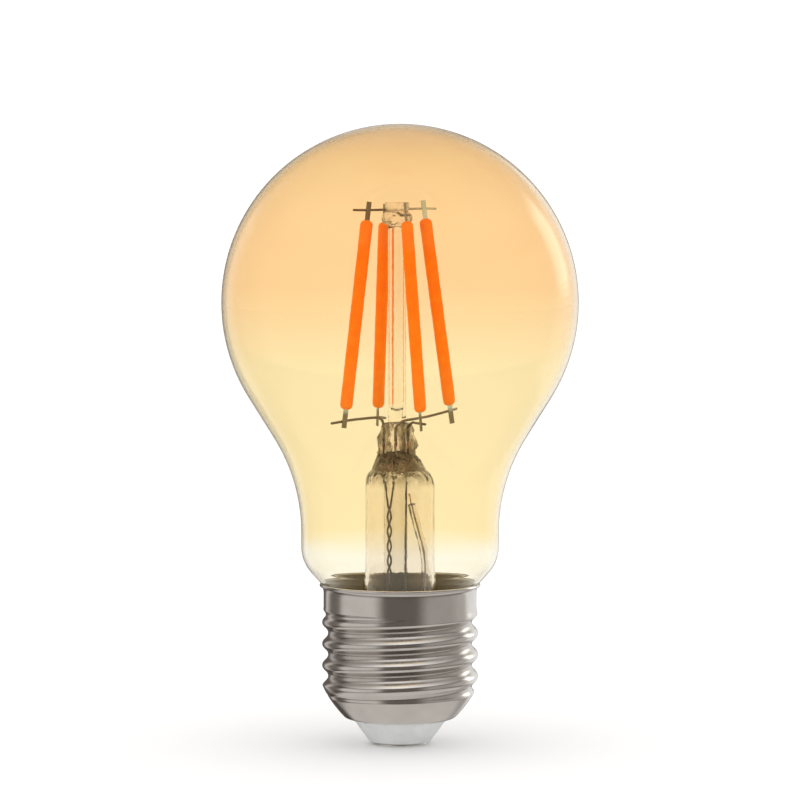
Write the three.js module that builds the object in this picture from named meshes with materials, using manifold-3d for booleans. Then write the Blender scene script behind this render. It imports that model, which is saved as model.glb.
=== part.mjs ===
// A smart filament lamp: an A60 glass bulb with four LED filaments on a glass stem,
// and a radio driver board inside an E27 screw cap.
// Millimetres, +Z up. The origin is the middle of the centre contact's face, and the
// front of the lamp faces -Y.

import * as THREE from 'three';
import Module from 'manifold-3d';
import { mergeVertices } from 'three/addons/utils/BufferGeometryUtils.js';

const wasm = await Module();
wasm.setup();

const degrees = THREE.MathUtils.degToRad;

// Glass bulb
const bulbRise = 77.2;               // the glass stands this far above the cap's rim
const bulbDiameter = 59.8;
const bulbWall = 0.7;
const throatArcRadius = 30;
const neckTopRise = 8.8;             // the neck starts to open this far above the cap's rim
const neckStep = 3.75;               // how far the neck stands out past the cap
const shoulderRise = 6.4;            // the neck starts to close in this far above the rim
const shoulderArcRadius = 6.5;
const shoulderAngle = degrees(41);
const sealArcRadius = 6;
const sealDepth = 7.3;               // the glass reaches this far below the rim

// Screw cap
const threadPitch = 25.4 / 7;        // seven turns to the inch, as E27 has
const threadCrestRadius = 13.1;
const threadDepth = 1.0;
const threadCrestZ = 15.1;           // height of one crest on the +X side
const plainBand = 5.8;               // from the top of the full thread to the rim
const threadFade = 2.2;
const capWall = 0.22;
const capTopStep = 0.25;             // how far the plain band lies inside the crests
const capTaperZ = 10;
const capEdgeZ = 4.3;
const capEdgeRadius = 8.0;
const rimZ = 26.9;                   // height of the cap
const rimGap = 0.05;
const cementThickness = 0.5;
const cementHeight = 4.1;
const cementGap = 0.08;

// Insulator and centre contact
const contactRadius = 4.5;
const contactThickness = 0.4;
const contactPinRadius = 1.3;
const contactPinHeight = 3;
const insulatorFaceRadius = 5.1;
const insulatorDrop = 3.0;           // top of the insulator below the thread's lower end
const insulatorGap = 0.12;

// Stem
const stemTubeRadius = 5.8;
const stemTubeWall = 0.65;
const flareHeight = 11;
const flareGap = 0.15;
const stemShoulderHeight = 5.2;
const pressDrop = 19.8;              // top of the pinched glass below the globe's centre
const pressHeight = 6.8;
const pressWidth = 6.4;
const pressThickness = 3.4;
const pressX = -0.5;
const sealY = -1.2;                  // the seal wires stand in front of the exhaust tube
const pillarRadius = 1.55;
const pillarWall = 0.55;
const beadRadius = 2.6;
const beadHeight = 3.9;
const beadDiscHeight = 1.1;
const exhaustRadius = 2.0;
const exhaustWall = 0.45;
const exhaustX = -0.75;
const exhaustLeadGap = 0.23;
const exhaustTopGap = 0.15;
const stemCeilingRim = 0.4;          // the ceiling reaches this far past the pinched glass
const exhaustTipDrop = 2.0;          // the drawn tip below the driver board

// Filaments: where each one stands, seen from above, and how high its lit body ends
const filamentLength = 31.9;
const filamentWidth = 2.15;
const filamentThickness = 2.05;
const filamentFootRadius = 9.6;
const filamentHeadRadius = 5.6;
const filamentPlaces = [
  { side: 'front_left', footAngle: degrees(199.8), headAngle: degrees(190.8), headRise: 13.9 },
  { side: 'back_left', footAngle: degrees(112.7), headAngle: degrees(118.2), headRise: 13.6 },
  { side: 'front_right', footAngle: degrees(-69.4), headAngle: degrees(-78.5), headRise: 13.7 },
  { side: 'back_right', footAngle: degrees(28.7), headAngle: degrees(40.9), headRise: 14.2 },
];
const substrateWidth = 0.8;
const substrateThickness = 0.3;
const chipCount = 14;
const chipLength = 0.9;
const chipHeight = 0.14;
const chipBondHeight = 0.06;
const tabWidth = 0.85;
const tabThickness = 0.16;
const tabGrip = 1.5;                 // how far a tab reaches into the lit body
const tabReach = 3.0;                // how far it sticks out
const stripGap = 0.06;

// Wires
const supportWireRadius = 0.2;
const leadWireRadius = 0.22;
const sealWireRadius = 0.18;
const outerWireRadius = 0.17;
const antennaWireRadius = 0.14;
const sleeveRadius = 0.65;
const sleeveWall = 0.16;
const wireGap = 0.06;
const wireBore = 0.12;               // room around a wire that runs through glass
const twistRadius = 0.3;
const twistTurns = 4;                // whole turns of the two leads round each other
const twistSteps = 6;                // points in each turn
const wireSides = 6;

// Driver board and its parts
const boardEdgeGap = 0.98;
const boardThickness = 1.0;
const packageHeight = 1.5;           // of the chips on top of the board
const packageRoom = 0.38;            // between them and the glass
const boardGap = 0.12;
const boardHoleGap = 0.35;
const capacitorRadius = 3.15;
const capacitorFloorGap = 1.3;       // from a part's lower end to the insulator
const capacitorPlace = [5.7, 0.2];
const bungHeight = 1.3;
const inductorRadius = 2.7;
const inductorWaist = 1.5;
const inductorFloorGap = 2.5;
const inductorFlange = 0.9;
const inductorPlace = [-5.9, 1.2];
const resistorRadius = 1.2;
const resistorFloorGap = 2.7;
const resistorLead = 0.3;
const resistorPlace = [-1.2, -6.6];
const resistorSleeveWall = 0.2;
const moduleWidth = 11;
const moduleFloorGap = 2.3;
const moduleThickness = 0.8;
const moduleY = 6.4;

// Sizes and places that follow from the ones above
const neckTopZ = rimZ + neckTopRise;
const shoulderZ = rimZ + shoulderRise;
const sealEndZ = rimZ - sealDepth;
const threadTopZ = rimZ - plainBand;
const insulatorTopZ = capTaperZ - insulatorDrop;
const boardZ = sealEndZ - packageRoom - packageHeight - boardGap - boardThickness;
const exhaustTipZ = boardZ - exhaustTipDrop;
const lampHeight = rimZ + bulbRise;
const globeRadius = bulbDiameter / 2;
const globeZ = lampHeight - globeRadius;
const capTopRadius = threadCrestRadius - capTopStep;
const neckRadius = capTopRadius + neckStep;
const shellInsideRadius = threadCrestRadius - threadDepth - capWall;
const sealRadius = shellInsideRadius - cementThickness - 2 * cementGap;
const boardRadius = shellInsideRadius - boardEdgeGap;
const pressTopZ = globeZ - pressDrop;
const pressBottomZ = pressTopZ - pressHeight;
const stemCeilingZ = pressBottomZ - 0.3;
const stemCeilingRadius = pressWidth / 2 + stemCeilingRim;
const boardTopZ = boardZ + boardThickness;
const exhaustY = sealY + exhaustRadius + outerWireRadius + exhaustLeadGap;
const hangingRoom = boardZ - boardGap - insulatorTopZ;
const capacitorLength = hangingRoom - capacitorFloorGap;
const inductorLength = hangingRoom - inductorFloorGap;
const moduleHeight = hangingRoom - moduleFloorGap;

// Finishes: colour, roughness, metalness
const amberGlass = { color: 0xe8b45a, roughness: 0.05, metalness: 0 };
const clearGlass = { color: 0xd9e2d4, roughness: 0.08, metalness: 0 };
const phosphor = { color: 0xf7811a, roughness: 0.55, metalness: 0 };
const ceramicStrip = { color: 0xe9e4d6, roughness: 0.6, metalness: 0 };
const ledChip = { color: 0xd8c24a, roughness: 0.3, metalness: 0.2 };
const nickelWire = { color: 0x6f6a62, roughness: 0.35, metalness: 1 };
const tabSteel = { color: 0x8e9190, roughness: 0.35, metalness: 1 };
const sealCopper = { color: 0x8a3b22, roughness: 0.4, metalness: 0.9 };
const enamelWire = { color: 0x4a3428, roughness: 0.45, metalness: 0.4 };
const antennaCopper = { color: 0xb5682c, roughness: 0.4, metalness: 0.8 };
const paleSleeve = { color: 0xdccfa6, roughness: 0.5, metalness: 0 };
const cementGrey = { color: 0xb9b2a2, roughness: 0.9, metalness: 0 };
const nickelCap = { color: 0xa9a5a0, roughness: 0.28, metalness: 1 };
const insulatorGrey = { color: 0xc9c9c7, roughness: 0.5, metalness: 0 };
const contactBrass = { color: 0xc2a767, roughness: 0.35, metalness: 1 };
const boardGreen = { color: 0x2c5a36, roughness: 0.55, metalness: 0 };
const moduleBlue = { color: 0x24483f, roughness: 0.5, metalness: 0 };
const chipBlack = { color: 0x1d1d1f, roughness: 0.5, metalness: 0 };
const capacitorSkin = { color: 0x2b3138, roughness: 0.4, metalness: 0 };
const bungRubber = { color: 0x1a1a1a, roughness: 0.8, metalness: 0 };
const ferrite = { color: 0x35332f, roughness: 0.7, metalness: 0.1 };
const windingCopper = { color: 0xb4642e, roughness: 0.35, metalness: 0.9 };
const resistorBlue = { color: 0x6f8f9c, roughness: 0.5, metalness: 0 };
const crystalCan = { color: 0xbfc2c3, roughness: 0.3, metalness: 1 };
const sleeveWhite = { color: 0xe2ded2, roughness: 0.6, metalness: 0 };

const lamp = new THREE.Group();

function place(name, geometry, finish, parent = lamp) {
  const mesh = new THREE.Mesh(geometry, new THREE.MeshStandardMaterial(finish));
  mesh.name = name;
  parent.add(mesh);
  return mesh;
}

// A closed geometry as a solid that can be joined or cut.
function solid(geometry) {
  const bare = geometry.clone();
  bare.deleteAttribute('normal');
  bare.deleteAttribute('uv');
  const merged = mergeVertices(bare, 1e-5);
  return new wasm.Manifold(new wasm.Mesh({
    numProp: 3,
    vertProperties: new Float32Array(merged.attributes.position.array),
    triVerts: new Uint32Array(merged.index.array),
  }));
}

function geometryOf(manifold) {
  const mesh = manifold.getMesh();
  const geometry = new THREE.BufferGeometry();
  geometry.setAttribute('position', new THREE.BufferAttribute(mesh.vertProperties, 3));
  geometry.setIndex(new THREE.BufferAttribute(mesh.triVerts, 1));
  geometry.computeVertexNormals();
  return geometry;
}

const corner = (radius, z) => new THREE.Vector2(radius, z);

// Points of an arc in the (radius, z) plane, both ends included.
function arc(centreR, centreZ, radius, fromAngle, toAngle, steps) {
  const points = [];
  for (let i = 0; i <= steps; i++) {
    const angle = THREE.MathUtils.lerp(fromAngle, toAngle, i / steps);
    points.push(corner(centreR + radius * Math.cos(angle), centreZ + radius * Math.sin(angle)));
  }
  return points;
}

// The same outline moved sideways by a distance, to the left of its direction.
function offset(points, distance) {
  return points.map((point, i) => {
    const before = points[Math.max(i - 1, 0)];
    const after = points[Math.min(i + 1, points.length - 1)];
    const along = after.clone().sub(before).normalize();
    return corner(point.x - along.y * distance, point.y + along.x * distance);
  });
}

// Radius of an outline at a height, for outlines that only rise or only fall.
function radiusAt(points, z) {
  for (let i = 1; i < points.length; i++) {
    const a = points[i - 1];
    const b = points[i];
    if ((a.y - z) * (b.y - z) <= 0 && a.y !== b.y) {
      return THREE.MathUtils.lerp(a.x, b.x, (z - a.y) / (b.y - a.y));
    }
  }
  return points[points.length - 1].x;
}

// The stretch of an outline between two heights, with new end points on it.
function stretch(points, lowZ, highZ) {
  const inside = points.filter((point) => point.y > lowZ + 0.05 && point.y < highZ - 0.05);
  const rising = points[0].y < points[points.length - 1].y;
  const low = corner(radiusAt(points, lowZ), lowZ);
  const high = corner(radiusAt(points, highZ), highZ);
  return rising ? [low, ...inside, high] : [high, ...inside, low];
}

// A profile turned round the Z axis. It runs up the outside and down the inside.
function turned(profile, segments) {
  const geometry = new THREE.LatheGeometry(profile, segments);
  geometry.rotateX(Math.PI / 2);
  return geometry;
}

function ring(innerRadius, outerRadius, lowZ, highZ, segments) {
  return turned([
    corner(innerRadius, lowZ), corner(outerRadius, lowZ),
    corner(outerRadius, highZ), corner(innerRadius, highZ), corner(innerRadius, lowZ),
  ], segments);
}

function disc(radius, lowZ, highZ, segments) {
  return turned([corner(0, lowZ), corner(radius, lowZ), corner(radius, highZ), corner(0, highZ)],
    segments);
}

const spot = (x, y, z) => new THREE.Vector3(x, y, z);

// A round wire along a smooth curve through the points.
function wire(points, radius, steps, sides = wireSides) {
  const section = new THREE.Shape();
  section.absarc(0, 0, radius, 0, 2 * Math.PI, false);
  const path = new THREE.CatmullRomCurve3(points, false, 'centripetal');
  return new THREE.ExtrudeGeometry(section,
    { extrudePath: path, steps, curveSegments: sides / 2, bevelEnabled: false });
}

// A hollow sleeve along a smooth curve through the points.
function sleeve(points, radius, wall, steps) {
  const section = new THREE.Shape();
  section.absarc(0, 0, radius, 0, 2 * Math.PI, false);
  const bore = new THREE.Path();
  bore.absarc(0, 0, radius - wall, 0, 2 * Math.PI, true);
  section.holes.push(bore);
  const path = new THREE.CatmullRomCurve3(points, false, 'centripetal');
  return new THREE.ExtrudeGeometry(section,
    { extrudePath: path, steps, curveSegments: 5, bevelEnabled: false });
}

// A box between two corners.
function block(low, high) {
  const size = high.clone().sub(low);
  const geometry = new THREE.BoxGeometry(size.x, size.y, size.z);
  const middle = low.clone().add(high).multiplyScalar(0.5);
  geometry.translate(middle.x, middle.y, middle.z);
  return geometry;
}

// ---- Glass bulb ----

const shoulderEndRadius = neckRadius - shoulderArcRadius * (1 - Math.cos(shoulderAngle));
const shoulderEndZ = shoulderZ - shoulderArcRadius * Math.sin(shoulderAngle);
const lowerConeRadius = (z) => shoulderEndRadius - (shoulderEndZ - z) * Math.tan(shoulderAngle);

// Under the globe the glass is a cone that touches the globe and the throat's arc.
const throatCentreRadius = neckRadius + throatArcRadius;
const globeToNeck = globeZ - neckTopZ;
const bulbConeAngle = Math.atan2(globeToNeck, throatCentreRadius)
  - Math.acos((globeRadius + throatArcRadius) / Math.hypot(throatCentreRadius, globeToNeck));

// The glass from the crown down to the seal, moved inwards by inset.
function bulbOutline(inset, steps) {
  const sealTopRadius = sealRadius + sealArcRadius * (1 - Math.cos(shoulderAngle));
  const sealTopZ = shoulderEndZ - (shoulderEndRadius - sealTopRadius) / Math.tan(shoulderAngle);
  const sealCentreZ = sealTopZ - sealArcRadius * Math.sin(shoulderAngle);
  const globe = globeRadius - inset;
  return [
    ...arc(0, globeZ, globe, Math.PI / 2, 0, 2 * steps),
    ...arc(0, globeZ, globe, 0, -bulbConeAngle, Math.round(0.7 * steps)).slice(1),
    ...arc(throatCentreRadius, neckTopZ, throatArcRadius + inset,
      Math.PI - bulbConeAngle, Math.PI, steps),
    ...arc(neckRadius - shoulderArcRadius, shoulderZ, shoulderArcRadius - inset,
      0, -shoulderAngle, Math.round(0.6 * steps)),
    ...arc(sealRadius + sealArcRadius, sealCentreZ, sealArcRadius + inset,
      Math.PI - shoulderAngle, Math.PI, Math.round(0.6 * steps)),
    corner(sealRadius - inset, sealEndZ),
  ];
}

place('glass_envelope',
  turned([...bulbOutline(bulbWall, 4), ...bulbOutline(0, 4).reverse()], 32), amberGlass);

// ---- Screw cap ----

// Outside of the cap before its thread is rolled, from the lower edge to the rim.
const rimOffset = (rimGap + capWall) / Math.cos(shoulderAngle);
const flareStartZ = shoulderEndZ
  - (shoulderEndRadius + rimOffset - capTopRadius) / Math.tan(shoulderAngle);
const threadRows = Math.round(5 * (threadTopZ + threadFade - capTaperZ) / threadPitch);

function capOutline() {
  const base = new THREE.QuadraticBezierCurve(
    corner(capEdgeRadius, capEdgeZ),
    corner(capEdgeRadius + 1.1, capEdgeZ + 0.03),
    corner(capEdgeRadius + 1.5, capEdgeZ + 0.45));
  const taper = new THREE.QuadraticBezierCurve(
    corner(capEdgeRadius + 1.5, capEdgeZ + 0.45),
    corner(threadCrestRadius - 1.1, capTaperZ - 2.6),
    corner(threadCrestRadius, capTaperZ));
  const points = [...base.getPoints(2), ...taper.getPoints(6).slice(1)];
  const threadEndZ = threadTopZ + threadFade;
  for (let i = 1; i <= threadRows; i++) {
    const z = THREE.MathUtils.lerp(capTaperZ, threadEndZ, i / threadRows);
    const radius = THREE.MathUtils.lerp(threadCrestRadius, capTopRadius,
      THREE.MathUtils.smoothstep(z, threadTopZ, threadEndZ));
    points.push(corner(radius, z));
  }
  points.push(corner(capTopRadius, flareStartZ));
  points.push(corner(lowerConeRadius(rimZ) + rimOffset, rimZ));
  return points;
}

const capOutside = capOutline();

// How far the thread moves the wall inwards at a height and an angle round the axis.
function threadShift(z, angle) {
  if (z > threadTopZ + threadFade) {
    return 0;
  }
  const turns = (z - threadCrestZ) / threadPitch - angle / (2 * Math.PI);
  const groove = 0.5 - 0.5 * Math.cos(2 * Math.PI * turns);
  const depth = threadDepth
    * (1 - THREE.MathUtils.smoothstep(z, threadTopZ, threadTopZ + threadFade));
  const threaded = threadCrestRadius - depth * groove;
  return Math.min(0, threaded - radiusAt(capOutside, z));
}

function rollThread(geometry) {
  const position = geometry.attributes.position;
  for (let i = 0; i < position.count; i++) {
    const x = position.getX(i);
    const y = position.getY(i);
    const radius = Math.hypot(x, y);
    const z = position.getZ(i);
    const scale = z > capEdgeZ + 1 ? 1 + threadShift(z, Math.atan2(y, x)) / radius : 1;
    position.setXY(i, x * scale, y * scale);
  }
  return geometry;
}

const capInside = offset(capOutside, capWall);
const capProfile = [...capOutside, ...capInside.slice().reverse(), capOutside[0]];
place('cap_shell', rollThread(turned(capProfile, 32)), nickelCap);

// Cement ring between the glass seal and the cap
const cementLowZ = sealEndZ + 0.6;
const cementHighZ = cementLowZ + cementHeight;
const cementLowRadius = shellInsideRadius - cementGap;
const cementHighRadius = capTopRadius - capWall - cementGap;
place('cap_cement', turned([
  corner(cementLowRadius, cementLowZ),
  corner(cementLowRadius, threadTopZ + 0.2),
  corner(cementHighRadius, threadTopZ + threadFade),
  corner(cementHighRadius, cementHighZ),
  ...stretch(bulbOutline(-cementGap, 4), cementLowZ, cementHighZ),
  corner(cementLowRadius, cementLowZ),
], 32), cementGrey);

// Insulator: a cone below the cap's edge, and a plug that lines the bottom of the cap
const boreRadius = contactPinRadius + insulatorGap;
const insulatorFaceZ = contactThickness + 0.05;
const plugOutline = offset(capOutside, capWall + insulatorGap);
const plugLowZ = capEdgeZ + capWall + 2 * insulatorGap;
place('cap_insulator', turned([
  corner(boreRadius, insulatorFaceZ),
  ...arc(insulatorFaceRadius - 0.4, insulatorFaceZ + 0.4, 0.4, -Math.PI / 2, -degrees(38), 3),
  corner(capEdgeRadius - insulatorGap, capEdgeZ - 0.1),
  corner(capEdgeRadius - insulatorGap, plugLowZ),
  ...stretch(plugOutline, plugLowZ + 0.1, insulatorTopZ),
  corner(boreRadius, insulatorTopZ),
  corner(boreRadius, insulatorFaceZ),
], 28), insulatorGrey);

place('centre_contact', turned([
  corner(0, 0),
  corner(contactRadius - 0.2, 0),
  corner(contactRadius, 0.15),
  corner(contactRadius, contactThickness),
  corner(contactPinRadius, contactThickness),
  corner(contactPinRadius, contactPinHeight),
  corner(0, contactPinHeight),
], 24), contactBrass);

// ---- Filaments ----

const filaments = {};

// Each filament has its own axes: x across the strip, y out of its flat side, z up it.
function standFilament(spec, acrossHint) {
  const head = spot(
    filamentHeadRadius * Math.cos(spec.headAngle),
    filamentHeadRadius * Math.sin(spec.headAngle),
    globeZ + spec.headRise);
  const spread = Math.hypot(
    head.x - filamentFootRadius * Math.cos(spec.footAngle),
    head.y - filamentFootRadius * Math.sin(spec.footAngle));
  const foot = spot(
    filamentFootRadius * Math.cos(spec.footAngle),
    filamentFootRadius * Math.sin(spec.footAngle),
    head.z - Math.sqrt(filamentLength ** 2 - spread ** 2));
  const up = head.clone().sub(foot).normalize();
  const flat = up.clone().cross(acrossHint).normalize();
  const across = flat.clone().cross(up).normalize();
  const group = new THREE.Group();
  group.matrixAutoUpdate = false;
  group.matrix.makeBasis(across, flat, up).setPosition(foot);
  lamp.add(group);
  const at = (x, y, z) => spot(x, y, z).applyMatrix4(group.matrix);
  filaments[spec.side] = { group, at, run: acrossHint };
}

const headPoint = (spec) => spot(
  filamentHeadRadius * Math.cos(spec.headAngle),
  filamentHeadRadius * Math.sin(spec.headAngle), 0);
const [frontLeft, backLeft, frontRight, backRight] = filamentPlaces;
const outerRun = headPoint(backRight).sub(headPoint(frontLeft)).normalize();
const innerRun = headPoint(frontRight).sub(headPoint(backLeft)).normalize();
standFilament(frontLeft, outerRun);
standFilament(backRight, outerRun);
standFilament(backLeft, innerRun);
standFilament(frontRight, innerRun);

// The lit body: a rod with round ends, flattened, with a slot for the strip inside it.
function phosphorRod() {
  const half = filamentWidth / 2;
  const rod = turned([
    ...arc(0, half, half, -Math.PI / 2, 0, 3),
    ...arc(0, filamentLength - half, half, 0, Math.PI / 2, 3),
  ], 12);
  rod.scale(1, filamentThickness / filamentWidth, 1);
  const slotHalf = Math.max(substrateWidth, tabWidth) / 2 + stripGap;
  const slot = block(
    spot(-slotHalf, -substrateThickness - stripGap, -1),
    spot(slotHalf, chipBondHeight + chipHeight + 2 * stripGap, filamentLength + 1));
  return geometryOf(solid(rod).subtract(solid(slot)));
}

// A row of light chips joined by their bond wires, as one comb along the strip.
function chipRow(startZ, endZ) {
  const outline = new THREE.Shape();
  outline.moveTo(startZ, stripGap);
  outline.lineTo(endZ, stripGap);
  const pitch = (endZ - startZ) / chipCount;
  for (let i = chipCount - 1; i >= 0; i--) {
    const middle = startZ + (i + 0.5) * pitch;
    outline.lineTo(middle + chipLength / 2 + 0.1, stripGap + chipBondHeight);
    outline.lineTo(middle + chipLength / 2, stripGap + chipBondHeight + chipHeight);
    outline.lineTo(middle - chipLength / 2, stripGap + chipBondHeight + chipHeight);
    outline.lineTo(middle - chipLength / 2 - 0.1, stripGap + chipBondHeight);
  }
  const width = substrateWidth - 0.3;
  const geometry = new THREE.ExtrudeGeometry(outline, { depth: width, bevelEnabled: false });
  geometry.translate(0, 0, -width / 2);
  geometry.rotateY(-Math.PI / 2);
  return geometry;
}

for (const spec of filamentPlaces) {
  const { group } = filaments[spec.side];
  const name = `filament_${spec.side}`;
  const stripStart = tabGrip + 2 * stripGap;
  const stripEnd = filamentLength - stripStart;
  const tabHalf = tabWidth / 2;
  place(`${name}_phosphor`, phosphorRod(), phosphor, group);
  place(`${name}_substrate`, block(
    spot(-substrateWidth / 2, -substrateThickness, stripStart),
    spot(substrateWidth / 2, 0, stripEnd)), ceramicStrip, group);
  place(`${name}_chips`, chipRow(stripStart + 0.5, stripEnd - 0.5), ledChip, group);
  place(`${name}_foot_tab`, block(
    spot(-tabHalf, -tabThickness, -tabReach),
    spot(tabHalf, 0, tabGrip)), tabSteel, group);
  place(`${name}_head_tab`, block(
    spot(-tabHalf, -tabThickness, filamentLength - tabGrip),
    spot(tabHalf, 0, filamentLength + tabReach)), tabSteel, group);
}

// Two points of a wire that crosses a tab on its flat side, at a distance along the tab.
// before and after are how far the points lie from the tab, and slope is the wire's rise.
function crossing(side, alongZ, wireRadius, before, after, slope = 0) {
  const { at, run } = filaments[side];
  const weld = at(0, wireRadius + wireGap, alongZ);
  const direction = run.clone().setZ(slope);
  return [
    weld.clone().addScaledVector(direction, -before),
    weld.clone().addScaledVector(direction, after),
  ];
}

// ---- Support wires at the heads ----

const outerWeld = filamentLength + 1.7;
const innerWeld = filamentLength + 1.0;
const outerSupport = [
  ...crossing('front_left', outerWeld, supportWireRadius, 2.7, 0),
  ...crossing('back_right', outerWeld, supportWireRadius, 0, 2.5),
];
const innerSupport = [
  ...crossing('back_left', innerWeld, supportWireRadius, 1.6, 0),
  ...crossing('front_right', innerWeld, supportWireRadius, 0, 1.2),
];
place('support_wire_outer', wire(outerSupport, supportWireRadius, 6), nickelWire);
place('support_wire_inner', wire(innerSupport, supportWireRadius, 6), nickelWire);

// ---- Glass stem ----

// Pillar and bead stand on the pinched glass, a little left of the lamp's axis.
const innerSupportZ = globeZ + backLeft.headRise + 1.0;
const beadLowZ = innerSupportZ - 1.7;
const pillar = place('support_pillar', ring(pillarRadius - pillarWall, pillarRadius,
  pressTopZ + wireBore, beadLowZ - wireBore, 16), clearGlass);
pillar.position.x = pressX;

function beadGeometry() {
  const body = turned([
    corner(0, beadLowZ),
    corner(pillarRadius, beadLowZ),
    ...arc(beadRadius - 1.1, beadLowZ + 1.2, 1.1, -degrees(50), degrees(60), 4),
    corner(beadRadius - 0.9, beadLowZ + beadHeight - beadDiscHeight - 0.2),
    corner(beadRadius - 0.55, beadLowZ + beadHeight - beadDiscHeight),
    corner(beadRadius - 0.55, beadLowZ + beadHeight),
    corner(0, beadLowZ + beadHeight),
  ], 16);
  body.translate(pressX, 0, 0);
  const bore = supportWireRadius + wireBore;
  return geometryOf(solid(body)
    .subtract(solid(wire(outerSupport, bore, 6)))
    .subtract(solid(wire(innerSupport, bore, 6))));
}
place('pillar_bead', beadGeometry(), clearGlass);

// Lead wires: three seals through the pinched glass, and four runs to the filament feet
const sealX = { left: pressX - 2.2, centre: pressX - 0.25, right: pressX + 1.85 };
const sealLowZ = pressBottomZ - 0.15;
const sealHighZ = pressBottomZ + 3.4;
const leadStartZ = sealHighZ + wireGap;

const leadLeft = [
  spot(sealX.left, sealY, leadStartZ),
  spot(sealX.left, sealY, pressTopZ - 1.1),
  spot(sealX.left - 0.5, sealY - 0.1, pressTopZ + 0.5),
  ...crossing('front_left', -2.0, leadWireRadius, 2.4, 3.0, 0.12).reverse(),
];
const leadCentre = [
  spot(sealX.centre, sealY, leadStartZ),
  spot(sealX.centre, sealY - 0.5, pressTopZ - 2.0),
  spot(sealX.centre + 0.1, -pressThickness / 2 - 0.5, pressTopZ - 0.9),
  spot(sealX.centre + 1.1, -pressThickness / 2 - 0.5, pressTopZ + 0.1),
  spot(sealX.right + 1.2, -0.7, pressTopZ + 0.5),
  ...crossing('back_right', -0.9, leadWireRadius, 3.6, 1.5, 0.22),
];
const leadRight = [
  spot(sealX.right, sealY, leadStartZ),
  spot(sealX.right, sealY, pressTopZ - 1.1),
  spot(sealX.right + 0.6, sealY - 1.6, pressTopZ - 0.1),
  ...crossing('front_right', -1.9, leadWireRadius, 3.0, 1.3),
];
const leadLeftArm = [
  leadLeft[2].clone().add(spot(-0.6, 0.8, 0.3)),
  spot(sealX.left - 1.2, 3.0, pressTopZ + 0.5),
  ...crossing('back_left', -1.6, leadWireRadius, 1.4, 3.0).reverse(),
];
place('lead_wire_front_left', wire(leadLeft, leadWireRadius, 16), nickelWire);
place('lead_wire_back_right', wire(leadCentre, leadWireRadius, 22), nickelWire);
place('lead_wire_front_right', wire(leadRight, leadWireRadius, 16), nickelWire);
place('lead_wire_back_left', wire(leadLeftArm, leadWireRadius, 12), nickelWire);

const seals = Object.fromEntries(Object.entries(sealX).map(([side, x]) =>
  [side, [spot(x, sealY, sealLowZ), spot(x, sealY, sealHighZ)]]));
for (const [side, points] of Object.entries(seals)) {
  place(`seal_wire_${side}`, wire(points, sealWireRadius, 1), sealCopper);
}

// Flared tube, closed at the top by the pinched glass that holds the wires
const flareRimZ = sealEndZ + 0.2;
const flareRimRadius = sealRadius - bulbWall - flareGap;
const stemOutline = [
  ...new THREE.CubicBezierCurve(
    corner(flareRimRadius, flareRimZ),
    corner(0.76 * flareRimRadius, flareRimZ + 0.13 * flareHeight),
    corner(stemTubeRadius + 0.4, flareRimZ + 0.4 * flareHeight),
    corner(stemTubeRadius, flareRimZ + flareHeight)).getPoints(7),
  ...new THREE.QuadraticBezierCurve(
    corner(stemTubeRadius, pressBottomZ + 1.4 - stemShoulderHeight),
    corner(stemTubeRadius, pressBottomZ + 2.6 - stemShoulderHeight),
    corner(stemTubeRadius - 0.9, pressBottomZ + 3.8 - stemShoulderHeight)).getPoints(3),
  corner(pressWidth / 2 + 0.1, pressBottomZ + 1.4),
];

function stemGeometry() {
  const inside = offset(stemOutline, stemTubeWall).slice(0, -1).reverse();
  const bell = turned([
    corner(0, pressBottomZ),
    corner(stemCeilingRadius, stemCeilingZ),
    ...inside,
    ...stemOutline,
    corner(0, pressBottomZ + 2.0),
  ], 20);
  const outline = new THREE.Shape();
  const half = pressWidth / 2 - 0.6;
  const round = 1.3;
  outline.moveTo(-half, pressBottomZ + 0.8);
  outline.lineTo(half, pressBottomZ + 0.8);
  outline.lineTo(half, pressTopZ - 0.6 - round);
  outline.absarc(half - round, pressTopZ - 0.6 - round, round, 0, Math.PI / 2, false);
  outline.absarc(round - half, pressTopZ - 0.6 - round, round, Math.PI / 2, Math.PI, false);
  outline.closePath();
  const press = new THREE.ExtrudeGeometry(outline, {
    depth: pressThickness - 1.2, curveSegments: 4,
    bevelThickness: 0.6, bevelSize: 0.6, bevelSegments: 2,
  });
  press.translate(0, 0, -(pressThickness - 1.2) / 2);
  press.rotateX(Math.PI / 2);
  press.translate(pressX, 0, 0);
  let stem = solid(bell).add(solid(press));
  for (const points of Object.values(seals)) {
    const bore = [points[0].clone().setZ(sealLowZ - 1), points[1].clone().setZ(leadStartZ + 0.3)];
    stem = stem.subtract(solid(wire(bore, sealWireRadius + wireBore, 1)));
  }
  for (const points of [leadLeft, leadCentre, leadRight]) {
    stem = stem.subtract(solid(wire(points, leadWireRadius + wireBore, 22)));
  }
  return geometryOf(stem);
}
place('stem_tube', stemGeometry(), clearGlass);

// Exhaust tube: open at the top, drawn to a closed tip below the driver board. A wider
// tube ends lower, where the closing stem still has room for it.
const exhaustReach = Math.hypot(exhaustX, exhaustY) + exhaustRadius;
const exhaustTopZ = stemCeilingZ - exhaustTopGap
  - 2 * Math.max(0, exhaustReach - stemCeilingRadius + exhaustTopGap);
const exhaust = place('exhaust_tube', turned([
  ...arc(0, exhaustTipZ + exhaustRadius, exhaustRadius, -Math.PI / 2, 0, 4),
  corner(exhaustRadius, exhaustTopZ),
  corner(exhaustRadius - exhaustWall, exhaustTopZ),
  ...arc(0, exhaustTipZ + exhaustRadius + 0.6, exhaustRadius - exhaustWall, 0, -Math.PI / 2, 3),
], 16), clearGlass);
exhaust.position.set(exhaustX, exhaustY, 0);

// ---- Outer leads, antenna ----

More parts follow.
